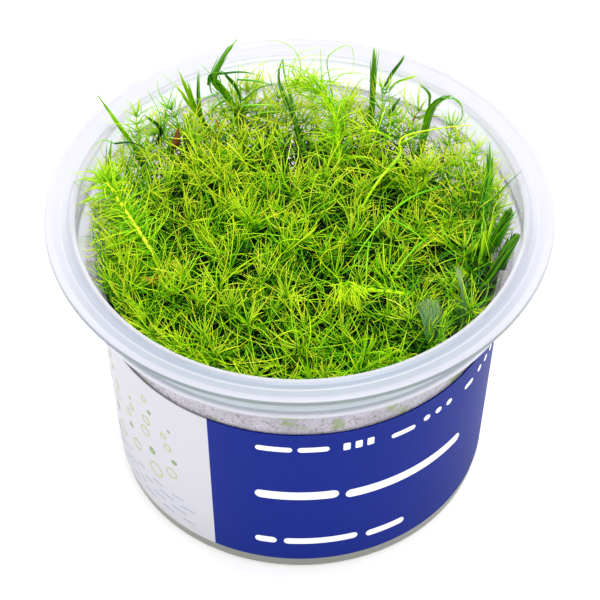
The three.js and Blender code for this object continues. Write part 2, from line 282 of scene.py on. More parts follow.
# How see-through the plastic is from the back of the cup to its front, in the thin collar and in
# the thicker wall, and all round in the flange
THIN_CLEAR = [(0.12, grey(0.86)), (0.4, grey(0.7)), (0.72, grey(0.4)), (1.0, grey(0.62))]
THICK_CLEAR = [(0.12, grey(0.75)), (0.5, grey(0.5)), (1.0, grey(0.42))]
FLANGE_CLEAR = 0.42

# How large things are that show in the plastic: the drops, the clouds among them, the leaves
# pressed to the wall and the ripple of its surface
DROP = 0.62 * MM
CLOUD = 5 * MM
PRESSED_LEAF = 7 * MM
RIPPLE = 2.5 * MM


def milky_polypropylene():
    """Injection-moulded polypropylene: milky, faintly blue, softly glossy, and see-through enough
    that what lies behind tints it. Fine drops hang inside the wall below the shoulder."""
    cup = bpy.context.scene.potted_cup
    material, tree, shader = new_material("milky_polypropylene", {
        "Roughness": 0.3, "IOR": 1.49, "Specular IOR Level": 0.4,
    })
    place = add_node(tree, "ShaderNodeTexCoord").outputs["Object"]
    # Fine drops, each with a painted glint at its middle, and darker between them
    drops = add_node(tree, "ShaderNodeTexVoronoi", {"feature": "F1"},
                     {"Vector": place, "Scale": 1 / DROP})
    drop_glints = add_node(tree, "ShaderNodeValToRGB", {"stops": [
        (0.0, grey(1.6)), (0.14, grey(1.3)), (0.3, grey(1.0)), (0.7, grey(0.86)),
        (0.95, grey(0.3))]}, {"Fac": drops.outputs["Distance"]})
    cloud = add_node(tree, "ShaderNodeTexNoise", inputs={
        "Vector": place, "Scale": 1 / CLOUD, "Detail": 3.0}).outputs["Fac"]
    streaks = add_node(tree, "ShaderNodeValToRGB", {"stops": [
        (0.35, grey(0.84)), (0.65, grey(1.12))]}, {"Fac": cloud})
    # The misted wall: drops, uneven mist and pressed leaves over a grey that is partly painted shade
    misted_and_shaded = add_node(tree, "ShaderNodeMix", MULTIPLY, {
        0: 1.0, 6: tuple(cup.misted_and_shaded), 7: drop_glints.outputs["Color"]}).outputs[2]
    misted_and_shaded = add_node(tree, "ShaderNodeMix", MULTIPLY, {
        0: 1.0, 6: misted_and_shaded, 7: streaks.outputs["Color"]}).outputs[2]
    leaves_behind = add_node(tree, "ShaderNodeTexNoise", inputs={
        "Vector": place, "Scale": 1 / PRESSED_LEAF, "Detail": 3.0}).outputs["Fac"]
    smudge = add_node(tree, "ShaderNodeValToRGB", {"stops": [
        (0.58, grey(0)), (0.63, grey(0.75))]}, {"Fac": leaves_behind})
    misted_and_shaded = add_node(tree, "ShaderNodeMix", MIX, {
        0: smudge.outputs["Color"], 6: misted_and_shaded, 7: tuple(cup.smudged)}).outputs[2]
    parts = add_node(tree, "ShaderNodeSeparateXYZ", inputs={"Vector": place})
    height = parts.outputs["Z"]
    flat = add_node(tree, "ShaderNodeVectorMath", {"operation": "MULTIPLY"},
                    {0: place, 1: (1.0, 1.0, 0.0)}).outputs[0]
    radius = add_node(tree, "ShaderNodeVectorMath", {"operation": "LENGTH"}, {0: flat})
    # Surfaces inside the wall and the collar take the inner tint, lightened as painted light
    untapered = add_node(tree, "ShaderNodeMath", {"operation": "MULTIPLY_ADD"}, {
        0: height, 1: -cup.slope, 2: radius.outputs["Value"]}).outputs[0]
    within = add_node(tree, "ShaderNodeMath", {"operation": "LESS_THAN"}, {
        0: untapered, 1: cup.base / 2 - cup.wall / 2}).outputs[0]
    wall = add_node(tree, "ShaderNodeMix", MIX, {
        0: within, 6: misted_and_shaded, 7: tuple(cup.inner)}).outputs[2]
    outside = add_node(tree, "ShaderNodeMath", {"operation": "GREATER_THAN"}, {
        0: radius.outputs["Value"], 1: cup.opening / 2 + cup.wall / 2}).outputs[0]
    collar = add_node(tree, "ShaderNodeMix", MIX, {
        0: outside, 6: tuple(cup.inner), 7: tuple(cup.collar)}).outputs[2]
    thickness = add_node(tree, "ShaderNodeMapRange", inputs={
        "Value": radius.outputs["Value"], "From Min": cup.opening / 2, "From Max": cup.flange / 2})
    # The deck's tint by its distance from the mouth: painted highlights on the mouth's bead and on
    # the groove, bluish bands of painted shade between and beyond them, where the shade under the
    # deck shows through, and near white towards the outer lip
    deck = add_node(tree, "ShaderNodeValToRGB", {"stops": [
        (0.0, grey(1.12)), (0.05, grey(1.02)), (0.1, (0.66, 0.75, 0.83, 1.0)),
        (0.38, (0.68, 0.76, 0.84, 1.0)), (0.41, grey(1.05)), (0.44, grey(1.05)),
        (0.48, (0.76, 0.83, 0.87, 1.0)), (0.68, (0.78, 0.84, 0.88, 1.0)),
        (0.73, (0.96, 0.98, 1.0, 1.0))]},
        {"Fac": thickness.outputs["Result"]})
    # How far towards the front a point lies: the deck's painted bands and the rim edge's painted
    # shade are strongest at the front
    toward_front = add_node(tree, "ShaderNodeMapRange", inputs={
        "Value": parts.outputs["Y"], "From Min": 5 * MM, "From Max": -42 * MM,
        "To Min": 0.12, "To Max": 1.0}).outputs["Result"]
    flange = add_node(tree, "ShaderNodeMix", MULTIPLY, {
        0: toward_front, 6: tuple(cup.milky), 7: deck.outputs["Color"]}).outputs[2]
    at_edge = add_node(tree, "ShaderNodeMath", {"operation": "GREATER_THAN"}, {
        0: radius.outputs["Value"], 1: cup.flange / 2 - 0.22 * MM}).outputs[0]
    front_edge = add_node(tree, "ShaderNodeMath", {"operation": "MULTIPLY"}, {
        0: at_edge, 1: toward_front}).outputs[0]
    flange = add_node(tree, "ShaderNodeMix", MIX, {
        0: front_edge, 6: flange, 7: tuple(cup.edge)}).outputs[2]
    zones = add_node(tree, "ShaderNodeMapRange", inputs={
        "Value": height, "From Min": 0.0, "From Max": cup.height})
    over_film, on_ridge, on_collar, on_flange, thin, on_top = (
        add_node(tree, "ShaderNodeValToRGB", {"stops": [
            (low / cup.height, grey(0)), (high / cup.height, grey(1))]},
            {"Fac": zones.outputs["Result"]}).outputs["Color"]
        for low, high in (
            (4.4 * MM, 5.2 * MM),
            (cup.ridge - 0.7 * MM, cup.ridge - 0.5 * MM),
            (cup.ridge + 0.5 * MM, cup.ridge + 0.8 * MM),
            (cup.height - 1.4 * MM, cup.height - 1.2 * MM),
            (cup.ridge + 1.4 * MM, cup.ridge + 2.0 * MM),
            (cup.height - 0.8 * MM, cup.height - 0.45 * MM),
        ))
    # Up the cup: the base's painted shade, the misted wall, the ridge's painted highlight, the
    # collar's painted shade and the flange
    colour = tuple(cup.shaded)
    for mask, over in ((over_film, wall), (on_ridge, tuple(cup.crest)), (on_collar, collar),
                       (on_flange, flange)):
        colour = add_node(tree, "ShaderNodeMix", MIX, {0: mask, 6: colour, 7: over}).outputs[2]
    tree.links.new(colour, shader.inputs["Base Color"])
    beyond_collar = add_node(tree, "ShaderNodeMath", {"operation": "GREATER_THAN"}, {
        0: radius.outputs["Value"], 1: cup.opening / 2 + cup.wall + 0.2 * MM}).outputs[0]
    in_flange = add_node(tree, "ShaderNodeMath", {"operation": "MAXIMUM"}, {
        0: on_top, 1: beyond_collar}).outputs[0]
    thin_clear, thick_clear = (
        add_node(tree, "ShaderNodeValToRGB", {"stops": stops}, {"Fac": toward_front}).outputs[0]
        for stops in (THIN_CLEAR, THICK_CLEAR))
    clear = add_node(tree, "ShaderNodeMix", MIX, {
        0: thin, 6: thick_clear, 7: thin_clear}).outputs[2]
    clear = add_node(tree, "ShaderNodeMix", MIX, {
        0: in_flange, 6: clear, 7: grey(FLANGE_CLEAR)}).outputs[2]
    tree.links.new(clear, shader.inputs["Transmission Weight"])
    ripple = add_node(tree, "ShaderNodeTexNoise", inputs={"Vector": place, "Scale": 1 / RIPPLE})
    relief = add_node(tree, "ShaderNodeBump", inputs={
        "Height": ripple.outputs["Fac"], "Distance": 0.04 * MM, "Strength": 0.4})
    tree.links.new(relief.outputs["Normal"], shader.inputs["Normal"])
    return material


def printed_film():
    """Printed polypropylene film: satin, with a blue panel and an off-white one, and the faint
    grain of offset ink. The panels part on two lines that lean with the film's own cut."""
    film = bpy.context.scene.potted_film
    material, tree, shader = new_material("printed_film", {
        "Roughness": 0.5, "IOR": 1.49, "Specular IOR Level": 0.08,
    })
    place = add_node(tree, "ShaderNodeTexCoord").outputs["Object"]
    parts = add_node(tree, "ShaderNodeSeparateXYZ", inputs={"Vector": place})
    front = add_node(tree, "ShaderNodeMath", {"operation": "MULTIPLY"},
                     {0: parts.outputs["Y"], 1: -1.0}).outputs[0]
    turn = add_node(tree, "ShaderNodeMath", {"operation": "ARCTAN2"},
                    {0: parts.outputs["X"], 1: front}).outputs[0]
    lean = add_node(tree, "ShaderNodeMath", {"operation": "MULTIPLY_ADD"},
                    {0: parts.outputs["Z"], 1: -PANEL_LEAN, 2: turn}).outputs[0]
    past_left = add_node(tree, "ShaderNodeMath", {"operation": "GREATER_THAN"},
                         {0: lean, 1: PANEL_LEFT}).outputs[0]
    before_right = add_node(tree, "ShaderNodeMath", {"operation": "LESS_THAN"},
                            {0: lean, 1: PANEL_RIGHT}).outputs[0]
    inside = add_node(tree, "ShaderNodeMath", {"operation": "MULTIPLY"},
                      {0: past_left, 1: before_right}).outputs[0]
    speckle = add_node(tree, "ShaderNodeTexNoise", inputs={
        "Vector": place, "Scale": 1 / (0.6 * MM), "Detail": 3.0}).outputs["Fac"]
    grain = add_node(tree, "ShaderNodeValToRGB", {"stops": [
        (0.3, grey(0.86)), (0.7, grey(1.1))]}, {"Fac": speckle})
    blue = add_node(tree, "ShaderNodeMix", MULTIPLY, {
        0: 1.0, 6: tuple(film.blue), 7: grain.outputs["Color"]}).outputs[2]
    panels = add_node(tree, "ShaderNodeMix", MIX, {0: inside, 6: tuple(film.white), 7: blue})
    tree.links.new(panels.outputs[2], shader.inputs["Base Color"])
    ripple = add_node(tree, "ShaderNodeTexNoise", inputs={"Vector": place, "Scale": 1 / (1.2 * MM)})
    relief = add_node(tree, "ShaderNodeBump", inputs={
        "Height": ripple.outputs["Fac"], "Distance": 0.02 * MM, "Strength": 0.3})
    tree.links.new(relief.outputs["Normal"], shader.inputs["Normal"])
    return material


def printing_ink(name, shade):
    """Offset printing ink: matt, with a slightly uneven cover."""
    material, tree, shader = new_material(name, {"Roughness": 0.5, "IOR": 1.48})
    place = add_node(tree, "ShaderNodeTexCoord").outputs["Object"]
    speckle = add_node(tree, "ShaderNodeTexNoise", inputs={
        "Vector": place, "Scale": 1 / (0.8 * MM)}).outputs["Fac"]
    cover = add_node(tree, "ShaderNodeValToRGB", {"stops": [
        (0.3, grey(0.9)), (0.7, grey(1.05))]}, {"Fac": speckle})
    inked = add_node(tree, "ShaderNodeMix", MULTIPLY, {0: 1.0, 6: shade, 7: cover.outputs["Color"]})
    tree.links.new(inked.outputs[2], shader.inputs["Base Color"])
    return material


def agar_gel():
    """Set agar: cloudy, wet and softly uneven, with darker and paler crumbs in it."""
    gel = bpy.context.scene.potted_gel
    material, tree, shader = new_material("agar_gel", {
        "Roughness": 0.16, "IOR": 1.34, "Subsurface Weight": 0.3,
        "Subsurface Radius": (1.0, 1.0, 1.0), "Subsurface Scale": 2 * MM,
    })
    place = add_node(tree, "ShaderNodeTexCoord").outputs["Object"]
    lumps = add_node(tree, "ShaderNodeTexNoise", inputs={
        "Vector": place, "Scale": 1 / (3 * MM), "Detail": 4.0}).outputs["Fac"]
    crumbs = add_node(tree, "ShaderNodeValToRGB", {"stops": [
        (0.35, linear("#4c5536")), (0.5, tuple(gel.cloudy)), (0.7, linear("#b9bca4"))]},
        {"Fac": lumps})
    tree.links.new(crumbs.outputs["Color"], shader.inputs["Base Color"])
    relief = add_node(tree, "ShaderNodeBump", inputs={"Height": lumps, "Distance": 0.3 * MM})
    tree.links.new(relief.outputs["Normal"], shader.inputs["Normal"])
    return material


def leaf_tissue(name, roughness, coat):
    """Living leaf tissue, with a waxy or a wet surface: deeper green at a needle's foot, as painted
    shade where its neighbours shade it, and lighter and yellower at its thin tip, as painted light.
    The map's first axis holds how old, how lit or how withered a leaf is, and its second runs from
    base to tip."""
    plant = bpy.context.scene.potted_plants
    material, tree, shader = new_material(name, {
        "Roughness": roughness, "IOR": 1.4, "Specular IOR Level": 0.3,
        "Coat Weight": coat, "Coat Roughness": 0.15, "Subsurface Weight": 0.18,
        "Subsurface Radius": (0.7, 1.0, 0.3), "Subsurface Scale": 0.4 * MM,
    })
    parts = add_node(tree, "ShaderNodeSeparateXYZ", inputs={
        "Vector": add_node(tree, "ShaderNodeUVMap", {"uv_map": LEAF_MAP}).outputs["UV"]})
    tones = [
        (0.0, plant.wet), (0.18, plant.deep), (0.4, plant.green), (0.6, plant.lime),
        (0.74, plant.straw), (LIVING, plant.cream), (0.84, plant.rust), (0.86, plant.rust),
        (0.9, plant.brown), (0.92, plant.brown), (GLAZED, plant.glaze), (1.0, plant.film),
    ]
    age = add_node(tree, "ShaderNodeValToRGB", {
        "stops": [(place, tuple(shade)) for place, shade in tones]}, {"Fac": parts.outputs["X"]})
    # Along a needle: painted shade at its foot and painted light at its tip
    along = add_node(tree, "ShaderNodeValToRGB", {"stops": [
        (0.0, (0.28, 0.64, 0.2, 1.0)), (0.3, (0.68, 0.88, 0.6, 1.0)), (0.6, grey(1.0)),
        (1.0, (1.3, 1.13, 0.85, 1.0))]},
        {"Fac": parts.outputs["Y"]})
    leaf = add_node(tree, "ShaderNodeMix", MULTIPLY, {
        0: 1.0, 6: age.outputs["Color"], 7: along.outputs["Color"]})
    tree.links.new(leaf.outputs[2], shader.inputs["Base Color"])
    return material


def plain_floor():
    """Opal acrylic board on a light table: even, matt and pale, and softly lit from below, which
    leaves no shadow."""
    studio = bpy.context.scene.potted_studio
    material, tree, shader = new_material("opal_acrylic", {
        "Roughness": 0.9, "Emission Color": (1.0, 1.0, 1.0, 1.0),
        "Emission Strength": studio.glow,
    })
    place = add_node(tree, "ShaderNodeTexCoord").outputs["Object"]
    patches = add_node(tree, "ShaderNodeTexNoise", inputs={"Vector": place, "Scale": 1 / (20 * MM)})
    shade = add_node(tree, "ShaderNodeMix", MIX, {
        0: patches.outputs["Fac"], 6: tuple(studio.floor), 7: grey(0.97)})
    tree.links.new(shade.outputs[2], shader.inputs["Base Color"])
    return material


# Points nearer than this are one, and faces that meet at less than the angle look smooth
SAME_PLACE = 1e-6
SMOOTH_ANGLE = math.radians(35)

# How finely the film and the gel are divided
FILM_ROWS = 8
FILM_STEPS = 180
GEL_STEPS = 96


def start_piece(name, size=1 * MM):
    """Deselects everything, adds a plane as the start of a piece and enters edit mode on it."""
    bpy.ops.object.select_all(action="DESELECT")
    bpy.ops.mesh.primitive_plane_add(size=size, location=(0, 0, 0))
    piece = bpy.context.object
    piece.name = name
    piece.data.name = name
    bpy.ops.object.mode_set(mode="EDIT")
    bpy.ops.mesh.select_mode(type="VERT")
    bpy.ops.mesh.select_all(action="SELECT")
    return piece


def trace_profile(piece, profile):
    """Melts the plane to one vertex and extrudes it from point to point of a profile."""
    bpy.ops.mesh.merge(type="CENTER")
    last = (0.0, 0.0)
    for index, (radius, height) in enumerate(profile):
        step = (radius - last[0], 0.0, height - last[1])
        if index == 0:
            bpy.ops.transform.translate(value=step)
        else:
            bpy.ops.mesh.extrude_vertices_move(TRANSFORM_OT_translate={"value": step})
        last = (radius, height)


def round_corners(piece, corners, radius, segments):
    """Rounds the profile's corners at the given points."""
    mesh = bmesh.from_edit_mesh(piece.data)
    for item in [*mesh.verts, *mesh.edges, *mesh.faces]:
        item.select = False
    for vert in mesh.verts:
        vert.select = len(vert.link_edges) == 2 and any(
            abs(vert.co.x - x) < SAME_PLACE and abs(vert.co.z - z) < SAME_PLACE
            for x, z in corners)
    mesh.select_flush(True)
    bmesh.update_edit_mesh(piece.data)
    bpy.ops.mesh.bevel(offset=radius, offset_pct=0, segments=segments, affect="VERTICES")


def spin_closed(piece, steps):
    """Spins the traced profile all the way round and closes its seam and poles."""
    bpy.ops.mesh.select_all(action="SELECT")
    bpy.ops.mesh.spin(steps=steps, angle=2 * math.pi, center=(0, 0, 0), axis=(0, 0, 1))
    bpy.ops.mesh.select_all(action="SELECT")
    bpy.ops.mesh.remove_doubles(threshold=SAME_PLACE)
    bpy.ops.mesh.normals_make_consistent(inside=False)


def finish_piece(piece, nodes, material):
    """Leaves edit mode, smooths the piece and hands it to the frame."""
    if bpy.context.mode != "OBJECT":
        bpy.ops.object.mode_set(mode="OBJECT")
    bpy.ops.object.select_all(action="DESELECT")
    piece.select_set(True)
    bpy.context.view_layer.objects.active = piece
    bpy.ops.object.transform_apply(location=True, rotation=True, scale=True)
    bpy.ops.object.shade_smooth_by_angle(angle=SMOOTH_ANGLE)
    piece.data.materials.clear()
    piece.data.materials.append(material)
    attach(piece, BODY)
    if nodes:
        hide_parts(*nodes)


class MakeCup(bpy.types.Operator):
    """Spin the moulded cup with its shoulder, ridge, collar and grooved flange"""

    bl_idname = "potted_plant.make_cup"
    bl_label = "Cup"
    bl_options = {"REGISTER", "UNDO"}

    def execute(self, context):
        cup = context.scene.potted_cup
        foot = cup.base / 2
        body_top = outer_radius(cup.shoulder)
        opening = cup.opening / 2
        collar = opening + cup.wall
        rim = cup.flange / 2
        rise = 0.9 * MM
        floor = 1.2 * MM
        under = cup.height - 0.8 * MM
        deck = cup.height - 0.2 * MM
        lip = 1.2 * MM
        groove = 46.7 * MM
        bead = opening - 0.4 * MM
        # From the middle of the underside out over the flange and down to the middle of the
        # floor: the radius and height of each corner and how it is rounded
        profile = [
            (0.0, rise, "plain"), (foot - 7 * MM, rise, "plain"), (foot - 5.6 * MM, 0.0, "plain"),
            (foot, 0.0, "soft"), (body_top, cup.shoulder, "soft"),
            (collar, cup.ridge - 1.5 * MM, "plain"),
            (collar + 0.5 * MM, cup.ridge - 0.45 * MM, "crisp"),
            (collar + 0.5 * MM, cup.ridge + 0.45 * MM, "crisp"),
            (collar, cup.ridge + 0.8 * MM, "plain"), (collar, under, "soft"),
            (rim - lip, under, "crisp"), (rim - 0.7 * MM, under - 0.1 * MM, "plain"),
            (rim, under - 0.1 * MM, "crisp"), (rim - 0.25 * MM, cup.height, "crisp"),
            (rim - lip, cup.height, "crisp"), (rim - lip - 0.5 * MM, deck, "crisp"),
            (groove + 0.45 * MM, deck, "plain"), (groove, deck - 0.12 * MM, "crisp"),
            (groove - 0.45 * MM, deck, "plain"), (opening + 1.1 * MM, deck - 0.25 * MM, "crisp"),
            (opening + 0.4 * MM, deck + 0.1 * MM, "crisp"), (bead, deck - 0.1 * MM, "crisp"),
            (opening, cup.ridge + SHOULDER_RISE, "soft"),
            (body_top - cup.wall, cup.shoulder + SHOULDER_RISE, "soft"),
            (foot - cup.wall, floor, "soft"), (foot - 5 * MM, floor, "plain"),
            (foot - 7 * MM, rise + floor, "plain"), (0.0, rise + floor, "plain"),
        ]
        piece = start_piece("moulded_cup")
        trace_profile(piece, [(radius, height) for radius, height, _ in profile])
        for rounding, size, segments in (("soft", 0.8 * MM, 4), ("crisp", 0.16 * MM, 2)):
            corners = [(radius, height) for radius, height, kind in profile if kind == rounding]
            round_corners(piece, corners, size, segments)
        spin_closed(piece, cup.steps)
        finish_piece(piece, ["cup"], milky_polypropylene())
        return {"FINISHED"}


def wall_section(piece, bottom, top, inner, outer, rows):
    """Shapes the plane into the thin upright section of a film on the tapered wall."""
    bpy.ops.transform.rotate(
        value=math.pi / 2, orient_axis="X", center_override=(0, 0, 0), orient_type="GLOBAL"
    )
    mesh = bmesh.from_edit_mesh(piece.data)
    for vert in mesh.verts:
        height = top if vert.co.z > 0 else bottom
        gap = outer if vert.co.x > 0 else inner
        vert.co = Vector((outer_radius(height) + gap, 0.0, height))
    bmesh.update_edit_mesh(piece.data)
    for row in range(1, rows):
        bpy.ops.mesh.select_all(action="SELECT")
        bpy.ops.mesh.bisect(
            plane_co=(0, 0, bottom + (top - bottom) * row / rows), plane_no=(0, 0, 1)
        )


class MakeFilm(bpy.types.Operator):
    """Wrap the printed film round the wall, open at a narrow slit behind"""

    bl_idname = "potted_plant.make_film"
    bl_label = "Printed Film"
    bl_options = {"REGISTER", "UNDO"}

    def execute(self, context):
        film = context.scene.potted_film
        piece = start_piece("wrapped_film")
        outside = film.clearance + film.thickness
        wall_section(piece, film.bottom, film.top, film.clearance, outside, FILM_ROWS)
        slit_angle = film.slit / outer_radius(film.top)
        mesh = bmesh.from_edit_mesh(piece.data)
        to_slit = Matrix.Rotation(math.pi / 2 + slit_angle / 2, 3, "Z")
        for vert in mesh.verts:
            vert.co = to_slit @ vert.co
        bmesh.update_edit_mesh(piece.data)
        bpy.ops.mesh.select_all(action="SELECT")
        bpy.ops.mesh.spin(
            steps=FILM_STEPS, angle=2 * math.pi - slit_angle, center=(0, 0, 0), axis=(0, 0, 1)
        )
        bpy.ops.mesh.select_all(action="SELECT")
        bpy.ops.mesh.remove_doubles(threshold=SAME_PLACE)
        bpy.ops.mesh.normals_make_consistent(inside=False)
        finish_piece(piece, ["label_band"], printed_film())
        return {"FINISHED"}


# The print is laid out flat: across is the way round the wall from the front, at a radius
# of 40 mm, and up is the height on the wall. Both are millimetres here. Motifs are cut every
# PRINT_CUT so that they bend, and the ink lies INK_GAP off the film. Bars' corners are a little
# short of fully round, so that no two of them meet.
PRINT_RADIUS = 40.0
PRINT_CUT = 1.5
INK_GAP = 0.002 * MM
NOT_QUITE_ROUND = 0.98


def flat_bar(across, up, width, height, tilt=0.0, roundness=0.5):
    """A bar with rounded ends, added flat, and left selected alone in object mode."""
    start_piece("bar", size=1.0)
    bpy.ops.transform.resize(value=(width, height, 1.0))
    corner = min(width, height) * roundness * NOT_QUITE_ROUND
    bpy.ops.mesh.bevel(offset=corner, offset_pct=0, segments=4, affect="VERTICES")
    bpy.ops.mesh.select_all(action="SELECT")
    return place_motif(across, up, tilt)


def flat_disc(across, up, radius, hole=0.0):
    """A disc, or a ring if it has a hole, added flat."""
    bpy.ops.object.select_all(action="DESELECT")
    bpy.ops.mesh.primitive_circle_add(vertices=24, radius=radius, fill_type="NGON")
    bpy.ops.object.mode_set(mode="EDIT")
    bpy.ops.mesh.select_all(action="SELECT")
    if hole:
        bpy.ops.mesh.inset(thickness=radius - hole)
        bpy.ops.mesh.delete(type="FACE")
        bpy.ops.mesh.select_all(action="SELECT")
    return place_motif(across, up)


def place_motif(across, up, tilt=0.0):
    """Turns and moves the edited motif to its place and returns its object."""
    piece = bpy.context.object
    mesh = bmesh.from_edit_mesh(piece.data)
    turn = Matrix.Rotation(tilt, 3, "Z")
    shift = Vector((across, up, 0.0))
    for vert in mesh.verts:
        vert.co = turn @ vert.co + shift
    bmesh.update_edit_mesh(piece.data)
    bpy.ops.object.mode_set(mode="OBJECT")
    return piece


def white_marks():
    """Plain rounded bars, small squares and dots on the blue panel."""
    rows = [
        (40.3, 1.5, ((-8.8, 7.2), (-0.6, 6.2))), (39.3, 1.4, ((18.2, 5.4), (37.5, 3.0))),
        (25.1, 2.5, ((-9.3, 17.0),)), (24.4, 2.5, ((9.1, 28.6),)),
        (9.6, 1.9, ((-9.7, 4.6), (-3.6, 15.6))), (9.0, 1.9, ((13.9, 9.0),)),
    ]
    marks = [
        flat_bar(left + width / 2, up, width, thick)
        for up, thick, bars in rows for left, width in bars
    ]
    marks += [flat_bar(9.0 + 2.4 * step, 40.2, 1.4, 2.2, roundness=0.2) for step in range(3)]
    marks += [flat_disc(across, 39.9, 0.8) for across in (26.4, 29.4, 32.4, 43.2, 46.2, 49.2)]
    for row in range(6):
        marks.append(flat_bar(84, 36 - 4.6 * row, 24 - 3.0 * (row % 3), 0.7))
    return marks


# Columns of printed rings on the white panel: across, lowest and highest, and largest radius
RING_COLUMNS = [
    (-29.0, 20, 36, 1.5), (-35.0, 17, 40, 2.0), (-41.5, 19, 34, 1.6), (-48.5, 16, 40, 2.0),
    (-56.0, 19, 35, 1.6), (-64.0, 17, 39, 2.0), (-72.5, 19, 34, 1.6), (-81.5, 16, 40, 2.0),
]


def rising_rings(solid):
    """Rings, or the dots between them, that rise in columns and grow smaller."""
    marks = []
    for number, (across, low, high, radius) in enumerate(RING_COLUMNS):
        up = low
        step = 0
        while up < high:
            size = radius * (1 - 0.6 * (up - low) / (high - low))
            aside = 1.2 * math.sin(1.7 * step + number)
            if solid == (step % 3 == 1):
                marks.append(flat_disc(across + aside, up, size * (0.6 if solid else 1.0),
                                       0.0 if solid else size - 0.3))
            up += 2.6 * size + 0.5
            step += 1
    return marks


def rounded_dashes():
    """Staggered rows of short rounded dashes along the foot of the white panel."""
    dashes = []
    for row in range(4):
        for index in range(11):
            across = -25.5 - 6.0 * index - 2.6 * (row % 2)
            width = 3.4 + 0.8 * scatter(11 * row + index, 61)
            dashes.append(flat_bar(across, 6.2 + 2.1 * row, width, 0.42, 0.05 * (row - 1.5)))
    return dashes


def wrap_print(name, motifs, material):
    """Joins flat motifs, cuts them fine enough to bend and lays them on the film."""
    film = bpy.context.scene.potted_film
    bpy.ops.object.select_all(action="DESELECT")
    for motif in motifs:
        motif.select_set(True)
    piece = motifs[0]
    bpy.context.view_layer.objects.active = piece
    bpy.ops.object.join()
    piece.name = name
    piece.data.name = name
    bpy.ops.object.mode_set(mode="EDIT")
    places = [vert.co.x for vert in bmesh.from_edit_mesh(piece.data).verts]
    lowest = min(places)
    steps = int((max(places) - lowest) / PRINT_CUT) + 1
    for step in range(1, steps):
        bpy.ops.mesh.select_all(action="SELECT")
        bpy.ops.mesh.bisect(plane_co=(lowest + PRINT_CUT * step, 0, 0), plane_no=(1, 0, 0))
    bpy.ops.object.mode_set(mode="OBJECT")
    gap = film.clearance + film.thickness
    for vert in piece.data.vertices:
        turn = vert.co.x / PRINT_RADIUS
        height = vert.co.y * MM
        radius = outer_radius(height) + gap + INK_GAP
        vert.co = Vector((radius * math.sin(turn), -radius * math.cos(turn), height))
    solidify = piece.modifiers.new("ink", "SOLIDIFY")
    solidify.thickness = film.print_height
    solidify.offset = 1.0
    bpy.ops.object.modifier_apply(modifier=solidify.name)
    finish_piece(piece, [], material)


class MakePrint(bpy.types.Operator):
    """Lay plain marks, rings, dots and dashes on the film as thin ink"""

    bl_idname = "potted_plant.make_print"
    bl_label = "Print"
    bl_options = {"REGISTER", "UNDO"}

    def execute(self, context):
        film = context.scene.potted_film
        white = printing_ink("white_ink", linear("#f4f4f8"))
        pale = printing_ink("pale_ink", tuple(film.pale_ink))
        deep = printing_ink("deep_ink", tuple(film.deep_ink))
        faint = printing_ink("grey_ink", tuple(film.grey_ink))
        wrap_print("white_marks", white_marks(), white)
        wrap_print("printed_rings", rising_rings(False), pale)
        wrap_print("printed_dots", rising_rings(True), deep)
        wrap_print("printed_dashes", rounded_dashes(), faint)
        return {"FINISHED"}


class MakeGel(bpy.types.Operator):
    """Pour the gel, with a raised edge where it wets the wall"""

    bl_idname = "potted_plant.make_gel"
    bl_label = "Gel"
    bl_options = {"REGISTER", "UNDO"}

    def execute(self, context):
        cup = context.scene.potted_cup
        gel = context.scene.potted_gel
        bottom = 2.5 * MM
        inset = cup.wall + gel.clearance
        edge_low = outer_radius(bottom) - inset
        edge_high = outer_radius(gel.top) - inset
        piece = start_piece("set_gel")
        profile = [
            (0.0, bottom), (edge_low - 1.4 * MM, bottom), (edge_low, bottom + 1.4 * MM),
            (edge_high + 0.05 * MM, gel.top + 0.8 * MM), (edge_high - 0.6 * MM, gel.top + 0.2 * MM),
            (edge_high - 2.2 * MM, gel.top), (0.0, gel.top),
        ]
        trace_profile(piece, profile)
        round_corners(piece, profile[4:6], 0.5 * MM, 3)
        spin_closed(piece, GEL_STEPS)
        finish_piece(piece, ["culture_gel"], agar_gel())
        return {"FINISHED"}


def scatter(seed, purpose):
    """A repeatable value from -1 to 1 for a seed and a purpose."""
    value = math.sin(seed * 12.9898 + purpose * 78.233) * 43758.5453
    return (value - math.floor(value)) * 2 - 1


